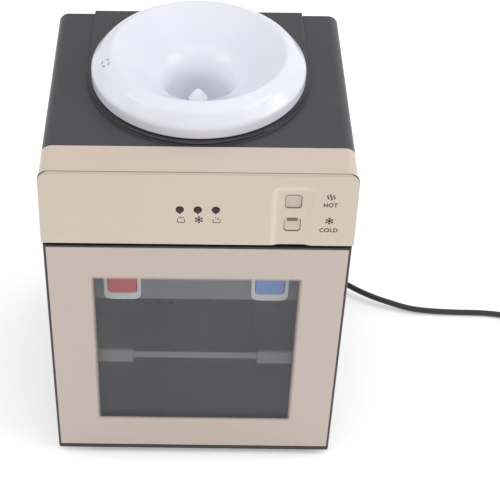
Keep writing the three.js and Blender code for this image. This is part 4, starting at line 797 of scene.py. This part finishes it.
def add_coil_tie():
    """A flat band of ribbon round the coil."""
    across, up, middle = 12.3 * MM, 7.6 * MM, 7.9 * MM
    mesh = bmesh.new()
    block(mesh, (-across, -2.5 * MM, -up), (across, 2.5 * MM, up))
    along = [edge for edge in mesh.edges if abs(edge.verts[0].co.y - edge.verts[1].co.y) > MM]
    bmesh.ops.bevel(mesh, geom=along, offset=4 * MM, segments=5, profile=0.5, affect="EDGES",
                    material=-1)
    caps = [face for face in mesh.faces if abs(face.normal.y) > 0.9]
    bmesh.ops.delete(mesh, geom=caps, context="FACES_ONLY")
    bmesh.ops.solidify(mesh, geom=mesh.faces, thickness=0.5 * MM)
    close_up(mesh)
    radius = (COIL_OUTER + COIL_INNER) / 2
    angle = math.radians(60)
    place(mesh, moved(*round_coil(radius, angle, middle)) @ turned(angle, "Z"))
    return finish_piece("coil_tie", mesh, "case", "cord")


class DISPENSER_OT_lead(bpy.types.Operator):
    """Lays the power lead with its strain relief, coil, tie and plug"""
    bl_idname = "dispenser.lead"
    bl_label = "Lead"

    def execute(self, context):
        diameter = context.scene.dispenser_lead.diameter
        lead = add_lead(diameter)
        pieces = [add_strain_relief(), *add_plug(), add_coil_tie()]
        return {"FINISHED"}


# ---- case and feet ----
class DISPENSER_OT_case(bpy.types.Operator):
    """Rounds the dark panels of the case and adds the screws in its rear"""
    bl_idname = "dispenser.case"
    bl_label = "Case"

    def execute(self, context):
        edge = context.scene.dispenser_shell.edge
        for node in ("left_side_panel", "right_side_panel", "rear_panel", "base_pan"):
            softened(node, "dark_case", 0.6 * edge)
        softened("top_cover", "dark_case", edge, segments=4, angle=40)
        self.add_bead()
        self.add_screws()
        return {"FINISHED"}

    def add_bead(self):
        """The gloss black bead round the front of the raised platform under the seat."""
        centre = (SEAT_LOW + SEAT_HIGH) / 2
        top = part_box("top_cover")[1].z
        steps, radius, thickness, sunk = 72, 110.9, 2.2, 0.9 * MM
        arc = [math.pi * step / steps for step in range(steps + 1)]
        line = [(radius * math.cos(angle), radius * math.sin(angle)) for angle in arc]
        bead = strokes([line], thickness, flat=False)
        place(bead, moved(centre.x, centre.y, top - sunk) @ UPRIGHT)
        finish_piece("platform_bead", bead, "case", "black_trim", "bead")

    def add_screws(self):
        inset = 9 * MM
        mesh = bmesh.new()
        heights = (REAR_LOW.z + inset, (REAR_LOW.z + REAR_HIGH.z) / 2, REAR_HIGH.z - inset)
        outline = [(0, 0.5), (1.4, 0.5), (1.4, 1.5, 0.2), (3.2, 1.2, 0.8), (3.8, 0.2, 0.3),
                   (3.8, -1), (0, -1)]
        for x in (REAR_LOW.x + inset, REAR_HIGH.x - inset):
            for z in heights:
                add_to(mesh, spun(eased(outline, 4), 24), moved(x, REAR_HIGH.y, z) @ BACKWARDS)
        finish_piece("rear_screws", mesh, "case", "steel")


class DISPENSER_OT_feet(bpy.types.Operator):
    """Moulds the rubber feet"""
    bl_idname = "dispenser.feet"
    bl_label = "Feet"

    def execute(self, context):
        for node in ("foot_front_left", "foot_front_right", "foot_rear_left", "foot_rear_right"):
            low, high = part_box(node)
            wide, tall = (high.x - low.x) / 2 / MM, (high.z - low.z) / MM
            pad = tall - 5
            outline = [(0, 0.6), (5, 0.6, 0.4), (6, 0, 0.4), (wide - 2, 0, 1), (wide - 1, 3, 0.6),
                       (wide - 1.8, 3.6, 0.3), (wide - 1.6, 4.6, 0.3), (wide, 5.4, 0.5),
                       (wide, pad, 0.4), (6, pad), (6, tall, 0.8), (0, tall)]
            mesh = spun(eased(outline, 4), 40)
            place(mesh, moved((low.x + high.x) / 2, (low.y + high.y) / 2, low.z))
            finish_piece(node + "_pad", mesh, "case", "rubber", replaces=[node])
        return {"FINISHED"}


# ---- head ----
def on_panel(x, z, proud=0.0):
    """A place on the leaning face of the control panel: millimetres across and up."""
    rise = z * MM - PANEL_LOW.z
    y = PANEL_LOW.y + rise * math.tan(PANEL_TILT) - proud / math.cos(PANEL_TILT)
    return moved(x * MM, y, z * MM) @ turned(-PANEL_TILT, "X")


class DISPENSER_OT_head(bpy.types.Operator):
    """Rounds the champagne head and its control panel"""
    bl_idname = "dispenser.head"
    bl_label = "Head"

    def execute(self, context):
        edge = context.scene.dispenser_shell.edge
        softened("head_shroud", "champagne", 0.5 * edge, angle=40)
        softened("control_panel", "champagne", 0.8 * edge, key="panel_paint", segments=4, angle=40)
        self.add_seam()
        return {"FINISHED"}

    def add_seam(self):
        """A narrow brown strip between the panel and the head behind it: painted shade in the gap."""
        wide, tall, corner = 149.9, (PANEL_HIGH.z - PANEL_LOW.z) / MM, 11
        outline = [(-wide, 0), (-wide, tall - 0.1, corner), (wide, tall - 0.1, corner), (wide, 0)]
        lean, depth, thickness = 1 / math.cos(PANEL_TILT), 4.15 * MM, 1.2
        line = [(x / MM, z / MM * lean) for x, z in eased(outline, 8)]
        seam = strokes([line], thickness, flat=False)
        place(seam, on_panel(0, PANEL_LOW.z / MM) @ moved(0, depth * lean, 0))
        finish_piece("head_seam", seam, "case", "champagne", "shadow_trim")


class DISPENSER_OT_switches(bpy.types.Operator):
    """Rounds the rocker keys and finishes their housings"""
    bl_idname = "dispenser.switches"
    bl_label = "Switches"

    def execute(self, context):
        # The hot key takes the darker rocker finish as painted shade for its tilt; the cold key keeps
        # the panel's paint.
        for node, finish in (("hot_rocker", "rocker"), ("cold_rocker", "panel_paint")):
            softened(node, "rocker", 0.8 * MM, key=finish, angle=20)
            self.add_well(node)
        self.add_key_shadow()
        # The housings take the brown as well: painted shade in the gaps round the keys.
        paint("shadow_trim", "hot_switch_housing", "cold_switch_housing")
        paint("circuit_board", "indicator_board")
        return {"FINISHED"}

    def add_key_shadow(self):
        """A brown patch at the upper end of the cold key: a painted shadow where the panel's edge
        shades the pressed-in end.
        """
        half_wide, half_tall, proud, sunk, inset = 5 * MM, 2.3 * MM, 0.12 * MM, 0.2 * MM, 2.7 * MM
        key = NODES["cold_rocker"].data
        corners = [vert.co for vert in key.vertices]
        shape = BVHTree.FromPolygons(corners, [face.vertices for face in key.polygons])
        low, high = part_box("cold_rocker")
        before = Vector(((low.x + high.x) / 2, low.y - 10 * MM, high.z - inset))
        spot, facing = shape.ray_cast(before, Vector((0, 1, 0)))[:2]
        mesh = bmesh.new()
        block(mesh, (-half_wide, -proud, -half_tall), (half_wide, sunk, half_tall), 0.1 * MM, 2)
        turn = Vector((0, -1, 0)).rotation_difference(facing).to_matrix().to_4x4()
        place(mesh, moved(*spot) @ turn)
        finish_piece("cold_rocker_shadow_patch", mesh, "cold_switch", "rocker", "cold_key_shadow")

    def add_well(self, key):
        """A thin brown sleeve that lines the panel's hole round a rocker key: painted shade that
        darkens the gap.
        """
        low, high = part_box(key.replace("rocker", "switch_housing"))
        across, up, corner, front, back, wall = 8, 7.98, 3.4, 3.3, 5.2, 0.05
        housing_depth = 12
        outline = [(-across, -up, corner), (across, -up, corner),
                   (across, up, corner), (-across, up, corner)]
        mesh = bmesh.new()
        verts = [mesh.verts.new((x, front * MM, z)) for x, z in eased(outline, 6)]
        edges = [mesh.edges.new(pair) for pair in zip(verts, verts[1:] + verts[:1])]
        made = bmesh.ops.extrude_edge_only(mesh, edges=edges)["geom"]
        deep = [item for item in made if isinstance(item, bmesh.types.BMVert)]
        bmesh.ops.translate(mesh, vec=(0, (back - front) * MM, 0), verts=deep)
        bmesh.ops.recalc_face_normals(mesh, faces=mesh.faces)
        bmesh.ops.solidify(mesh, geom=mesh.faces, thickness=wall * MM)
        close_up(mesh)
        centre = (low + high) / 2 / MM
        place(mesh, on_panel(centre.x, centre.z + housing_depth * math.sin(PANEL_TILT)))
        finish_piece(key + "_well", mesh, "case", "black_trim", "shadow_trim")


class DISPENSER_OT_lamps(bpy.types.Operator):
    """Turns the domed lenses of the indicator lamps"""
    bl_idname = "dispenser.lamps"
    bl_label = "Lamps"

    def execute(self, context):
        outline = [(0, 0), (5, 0), (5, 1.5), (3.8, 1.5), (3.8, 5.4, 0.4), (2.6, 5.9, 1), (0, 6.1)]
        for node in ("heating_lens", "cooling_lens", "keep_warm_lens"):
            low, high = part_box(node)
            mesh = spun(eased(outline, 5), 40)
            place(mesh, turned(math.pi / 2 - PANEL_TILT, "X"))
            rear = max(vert.co.y for vert in mesh.verts)
            centre = (low + high) / 2
            middle = sum(vert.co.z for vert in mesh.verts) / len(mesh.verts)
            place(mesh, moved(centre.x, high.y - rear, centre.z - middle))
            finish_piece(node + "_dome", mesh, "case", "lens", replaces=[node], sharp=50)
        return {"FINISHED"}


def snowflake(size):
    """Six arms, each with two short forks."""
    fork_at, fork_length, spread = 0.66 * size, 0.32 * size, math.radians(50)
    lines = []
    for arm in range(6):
        angle = math.radians(90 + 60 * arm)
        ahead = Vector((math.cos(angle), math.sin(angle)))
        lines.append([(0, 0), ahead * size])
        for way in (angle - spread, angle + spread):
            prong = Vector((math.cos(way), math.sin(way))) * fork_length
            lines.append([ahead * fork_at, ahead * fork_at + prong])
    return lines


def wisp(x, low, high, sway):
    """One wavy line of steam."""
    steps = 10
    return [(x + sway * math.sin(2 * math.pi * step / steps), low + (high - low) * step / steps)
            for step in range(steps + 1)]


def pot():
    """An open pot with two handles."""
    left = [(-3.9, 0.8), (-3.3, 0.8), (-3.3, -2.4), (-2.7, -3)]
    return [left + [(-x, z) for x, z in reversed(left)]]


class DISPENSER_OT_marks(bpy.types.Operator):
    """Prints the plain words and signs beside the switches and under the lamps"""
    bl_idname = "dispenser.marks"
    bl_label = "Marks"

    def execute(self, context):
        mesh = bmesh.new()
        proud = INK_THICKNESS / 4
        steam = [wisp(-2.9, -2.4, 2.4, 0.5), wisp(0, -3.6, 3.6, 0.8), wisp(2.9, -2.4, 2.4, 0.5)]
        hot_pot = pot() + [wisp(x, 1.8, 3.8, 0.25) for x in (-1.9, 0, 1.9)]
        leaf = [(0.4, 0.9), (1.4, 2.4), (2.3, 0.9), (0.4, 0.9)]
        warm_pot = pot() + [[(-1.4, 2.2), (-0.7, 3.6)], leaf]
        drawings = [
            (124.4, 372.7, strokes(steam, 1.2)),
            (124.5, 345.1, strokes(snowflake(4), 0.95)),
            (1.2, 345, strokes(snowflake(4), 0.95)),
            (-15.8, 344.6, strokes(hot_pot, 0.8)),
            (18, 344.6, strokes(warm_pot, 0.8)),
            (124.4, 363.2, lettering("HOT", 4.6 * MM, 0.95, 1.06)),
            (124.4, 334, lettering("COLD", 4.6 * MM, 0.97, 1.06)),
        ]
        tick = [(-0.8, 0.7), (0, -0.4), (0.8, 0.7)]
        drawings += [(x, 352.1, strokes([tick], 0.9)) for x in (-17, 0, 17)]
        for x, z, drawing in drawings:
            add_to(mesh, drawing, on_panel(x, z, proud))
        finish_piece("panel_marks", mesh, "case", "champagne", "ink")
        return {"FINISHED"}


# ---- door ----
class DISPENSER_OT_door(bpy.types.Operator):
    """Rounds the door and its glass, and prints the dots that fade into the window"""
    bl_idname = "dispenser.door"
    bl_label = "Door"

    def execute(self, context):
        edge = context.scene.dispenser_shell.edge
        softened("door_frame", "black_trim", 0.6 * edge, angle=40)
        softened("door_panel", "champagne", 0.6 * edge, key="door_print", angle=40)
        softened("door_window", "smoked_glass", 0.2 * edge, angle=40)
        paint("steel", "upper_hinge_bracket", "lower_hinge_bracket", "catch_magnet")
        self.print_dots()
        return {"FINISHED"}

    def print_dots(self):
        pitch, land, skin = 2.4 * MM, 5 * MM, 0.04 * MM
        left, right = WINDOW_LOW.x + land, WINDOW_HIGH.x - land
        low, high = WINDOW_LOW.z + land, WINDOW_HIGH.z - land
        rows = [(0.6 * MM, 0.95 * MM), (2.1 * MM, 0.6 * MM)]
        spots = []
        for inset, radius in rows:
            west, east, foot, head = left + inset, right - inset, low + inset, high - inset
            across, upward = round((east - west) / pitch), round((head - foot) / pitch)
            for step in range(across + 1):
                x = west + (east - west) * step / across
                spots += [(x, foot, radius), (x, head, radius)]
            for step in range(1, upward):
                z = foot + (head - foot) * step / upward
                spots += [(west, z, radius), (east, z, radius)]
        mesh = bmesh.new()
        for x, z, radius in spots:
            spot = moved(x, WINDOW_LOW.y - skin / 2, z) @ UPRIGHT
            bmesh.ops.create_cone(mesh, cap_ends=True, segments=8, radius1=radius, radius2=radius,
                                  depth=skin, matrix=spot)
        finish_piece("window_dots", mesh, "door", "champagne", "door_print")


# ---- chamber ----
class DISPENSER_OT_taps(bpy.types.Operator):
    """Rounds the two taps and their levers"""
    bl_idname = "dispenser.taps"
    bl_label = "Taps"

    def execute(self, context):
        for water, slot in (("hot", "hot_red"), ("cold", "cold_blue")):
            softened(f"{water}_tap_body", "white_plastic", 0.8 * MM, key="tap_white", angle=40)
            softened(f"{water}_tap_lever", slot, 0.8 * MM, angle=40)
            paint("steel", f"{water}_tap_plunger")
        return {"FINISHED"}


class DISPENSER_OT_chamber(bpy.types.Operator):
    """Rounds the liner of the cup chamber and its shelf"""
    bl_idname = "dispenser.chamber"
    bl_label = "Chamber"

    def execute(self, context):
        # The fascia and the shelf take the lighter liner: painted light on their lit front faces.
        softened("tap_fascia", "liner", 0.5 * MM, key="lit_liner")
        softened("tray_shelf", "liner", 0.6 * MM, key="lit_liner")
        for node in ("chamber_ceiling", "chamber_back", "chamber_left_wall", "chamber_right_wall"):
            softened(node, "liner", 0.5 * MM)
        return {"FINISHED"}


class DISPENSER_OT_tray(bpy.types.Operator):
    """Rounds the drip tray and its grille"""
    bl_idname = "dispenser.tray"
    bl_label = "Drip Tray"

    def execute(self, context):
        tray = softened("drip_tray", "liner", 0.5 * MM, key="black_trim")
        tray.data.materials.append(FINISHES["lit_liner"])
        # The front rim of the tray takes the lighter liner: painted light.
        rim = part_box("drip_tray")[0].y + 5 * MM
        for face in tray.data.polygons:
            face.material_index = int(face.center.y < rim)
        softened("drip_grille", "black_trim", 0.4 * MM)
        return {"FINISHED"}


# ---- bottle seat ----
class DISPENSER_OT_seat(bpy.types.Operator):
    """Turns the bottle seat, its probe and the sign on its rim"""
    bl_idname = "dispenser.seat"
    bl_label = "Bottle Seat"

    def execute(self, context):
        self.add_seat()
        self.add_probe()
        self.add_sign()
        paint("silicone", "seat_seal")
        return {"FINISHED"}

    def axis(self):
        """The move from the origin to the seat's own axis."""
        centre = (SEAT_LOW + SEAT_HIGH) / 2
        return moved(centre.x, centre.y, 0)

    def add_seat(self):
        top, bottom, rim = SEAT_HIGH.z / MM, SEAT_LOW.z / MM, SEAT_HIGH.x / MM
        crest, lip, throat, wall = rim - 20.6, 39.4, 31.5, 3
        lip_z, foot = top - 34.4, top - 29.9
        slope = (top - lip_z) / (crest - lip)
        under = wall * math.hypot(1, slope)
        spigot = 83.2

        def bowl(radius):
            return lip_z + (radius - lip) * slope

        outline = [
            (9, bottom), (throat + wall, bottom, 2), (throat + wall, lip_z - 16, 8),
            (lip + 5, bowl(lip + 5) - under, 6), (spigot - 2.6, bowl(spigot - 2.6) - under, 0.5),
            (spigot - 2.6, foot - 9), (spigot, foot - 9, 0.8), (spigot, bowl(spigot) - under, 0.5),
            (crest, top - wall - 1.5, 5), (rim - wall, foot + 9.5, 5), (rim - wall, foot, 0.5),
            (rim, foot, 1.2), (rim, foot + 11.8, 3.2), (crest + 10.5, top - 5.6, 3), (crest, top, 2.6),
            (crest - 5, bowl(crest - 5) - 0.3, 5), (lip, lip_z - 0.6, 15), (throat, lip_z - 17, 12),
            (throat, bottom + wall, 2), (9, bottom + wall),
        ]
        mesh = spun(eased(outline, 8), 128, closed=True)
        place(mesh, self.axis())
        finish_piece("bottle_seat_shell", mesh, "seat", "white_plastic", replaces=["bottle_seat"],
                     sharp=60)

    def add_probe(self):
        foot, tip = PROBE_LOW.z / MM, PROBE_HIGH.z / MM
        outline = [(8, foot), (19, foot, 0.5), (19, foot + 2.5, 1), (10, foot + 2.5, 1.5),
                   (10, foot + 5), (10, tip - 12), (9.6, tip - 10.5, 2), (3.2, tip - 2.2, 3), (0, tip)]
        mesh = spun(eased(outline, 5), 48)
        windows = [face for face in mesh.faces
                   if self.is_probe_window(face.calc_center_median(), foot, tip)]
        bmesh.ops.delete(mesh, geom=windows, context="FACES")
        place(mesh, self.axis())
        probe = finish_piece("probe_spike", mesh, "seat", "white_plastic", replaces=["probe"])
        shell = probe.modifiers.new("wall", "SOLIDIFY")
        shell.thickness = 1.8 * MM
        shell.offset = -1

    def is_probe_window(self, spot, foot, tip):
        """Whether a face of the probe lies in one of its four water windows."""
        quarter = math.radians(90)
        angle = math.atan2(spot.y, spot.x)
        off = abs(angle - quarter * round(angle / quarter))
        tall = (foot + 5) * MM < spot.z < (tip - 12) * MM
        return tall and off < math.radians(15) and math.hypot(spot.x, spot.y) > 9.5 * MM

    def add_sign(self):
        """A small broken ring of four dashes on the seat's rim."""
        lines = []
        for start in (20, 110, 200, 290):
            angles = [math.radians(start + 12 * step) for step in range(5)]
            lines.append([(4.2 * math.cos(angle), 5 * math.sin(angle)) for angle in angles])
        mesh = strokes(lines, 0.6)
        rim = SEAT_HIGH.x / MM
        slope = math.atan2(5.6, 10.5)
        outward = turned(math.radians(193), "Z")
        reach = moved((rim - 13.5) * MM, 0, SEAT_HIGH.z - 3.55 * MM)
        place(mesh, self.axis() @ outward @ reach @ turned(slope, "Y") @ BACKWARDS)
        finish_piece("seat_sign", mesh, "seat", "white_plastic", "ink")


# ---- inside and rear ----
class DISPENSER_OT_inside(bpy.types.Operator):
    """Finishes the tanks, tubes, boards and cooling parts inside the case"""
    bl_idname = "dispenser.inside"
    bl_label = "Inside"

    def execute(self, context):
        paint("steel", "cold_tank", "hot_tank")
        paint("tap_white", "tank_lid", "separator_disc")
        paint("foam", "tank_foam")
        paint("aluminium", "cooling_block", "heat_sink")
        paint("silicone", "feed_tube", "hot_outlet_tube", "cold_outlet_tube")
        paint("circuit_board", "power_board")
        softened("fan_frame", "black_trim", 0.5 * MM)
        softened("fan_rotor", "black_trim", 0.3 * MM)
        softened("drain_cap", "black_trim", 0.6 * MM)
        return {"FINISHED"}


class DISPENSER_PT_pieces(bpy.types.Panel):
    """Lists the sizes, the colours and the pieces"""
    bl_idname = "DISPENSER_PT_pieces"
    bl_label = "Water Dispenser"
    bl_space_type = "VIEW_3D"
    bl_region_type = "UI"
    bl_category = "Dispenser"

    def draw(self, context):
        scene = context.scene
        for group in (scene.dispenser_shell, scene.dispenser_water, scene.dispenser_lead):
            box = self.layout.box()
            for setting in group.__annotations__:
                box.prop(group, setting)
        for operator in OPERATORS:
            self.layout.operator(operator.bl_idname)


OPERATORS = (
    DISPENSER_OT_stage, DISPENSER_OT_lead, DISPENSER_OT_case, DISPENSER_OT_feet, DISPENSER_OT_head,
    DISPENSER_OT_switches, DISPENSER_OT_lamps, DISPENSER_OT_marks, DISPENSER_OT_door,
    DISPENSER_OT_taps, DISPENSER_OT_chamber, DISPENSER_OT_tray, DISPENSER_OT_seat,
    DISPENSER_OT_inside,
)
GROUPS = (DispenserShell, DispenserWater, DispenserLead)


def register():
    for cls in (*GROUPS, *OPERATORS, DISPENSER_PT_pieces):
        bpy.utils.register_class(cls)
    bpy.types.Scene.dispenser_shell = bpy.props.PointerProperty(type=DispenserShell)
    bpy.types.Scene.dispenser_water = bpy.props.PointerProperty(type=DispenserWater)
    bpy.types.Scene.dispenser_lead = bpy.props.PointerProperty(type=DispenserLead)


def unregister():
    del bpy.types.Scene.dispenser_lead
    del bpy.types.Scene.dispenser_water
    del bpy.types.Scene.dispenser_shell
    for cls in reversed((*GROUPS, *OPERATORS, DISPENSER_PT_pieces)):
        bpy.utils.unregister_class(cls)


def main():
    register()
    for operator in OPERATORS:
        getattr(bpy.ops.dispenser, operator.bl_idname.partition(".")[2])()


if __name__ == "__main__":
    main()
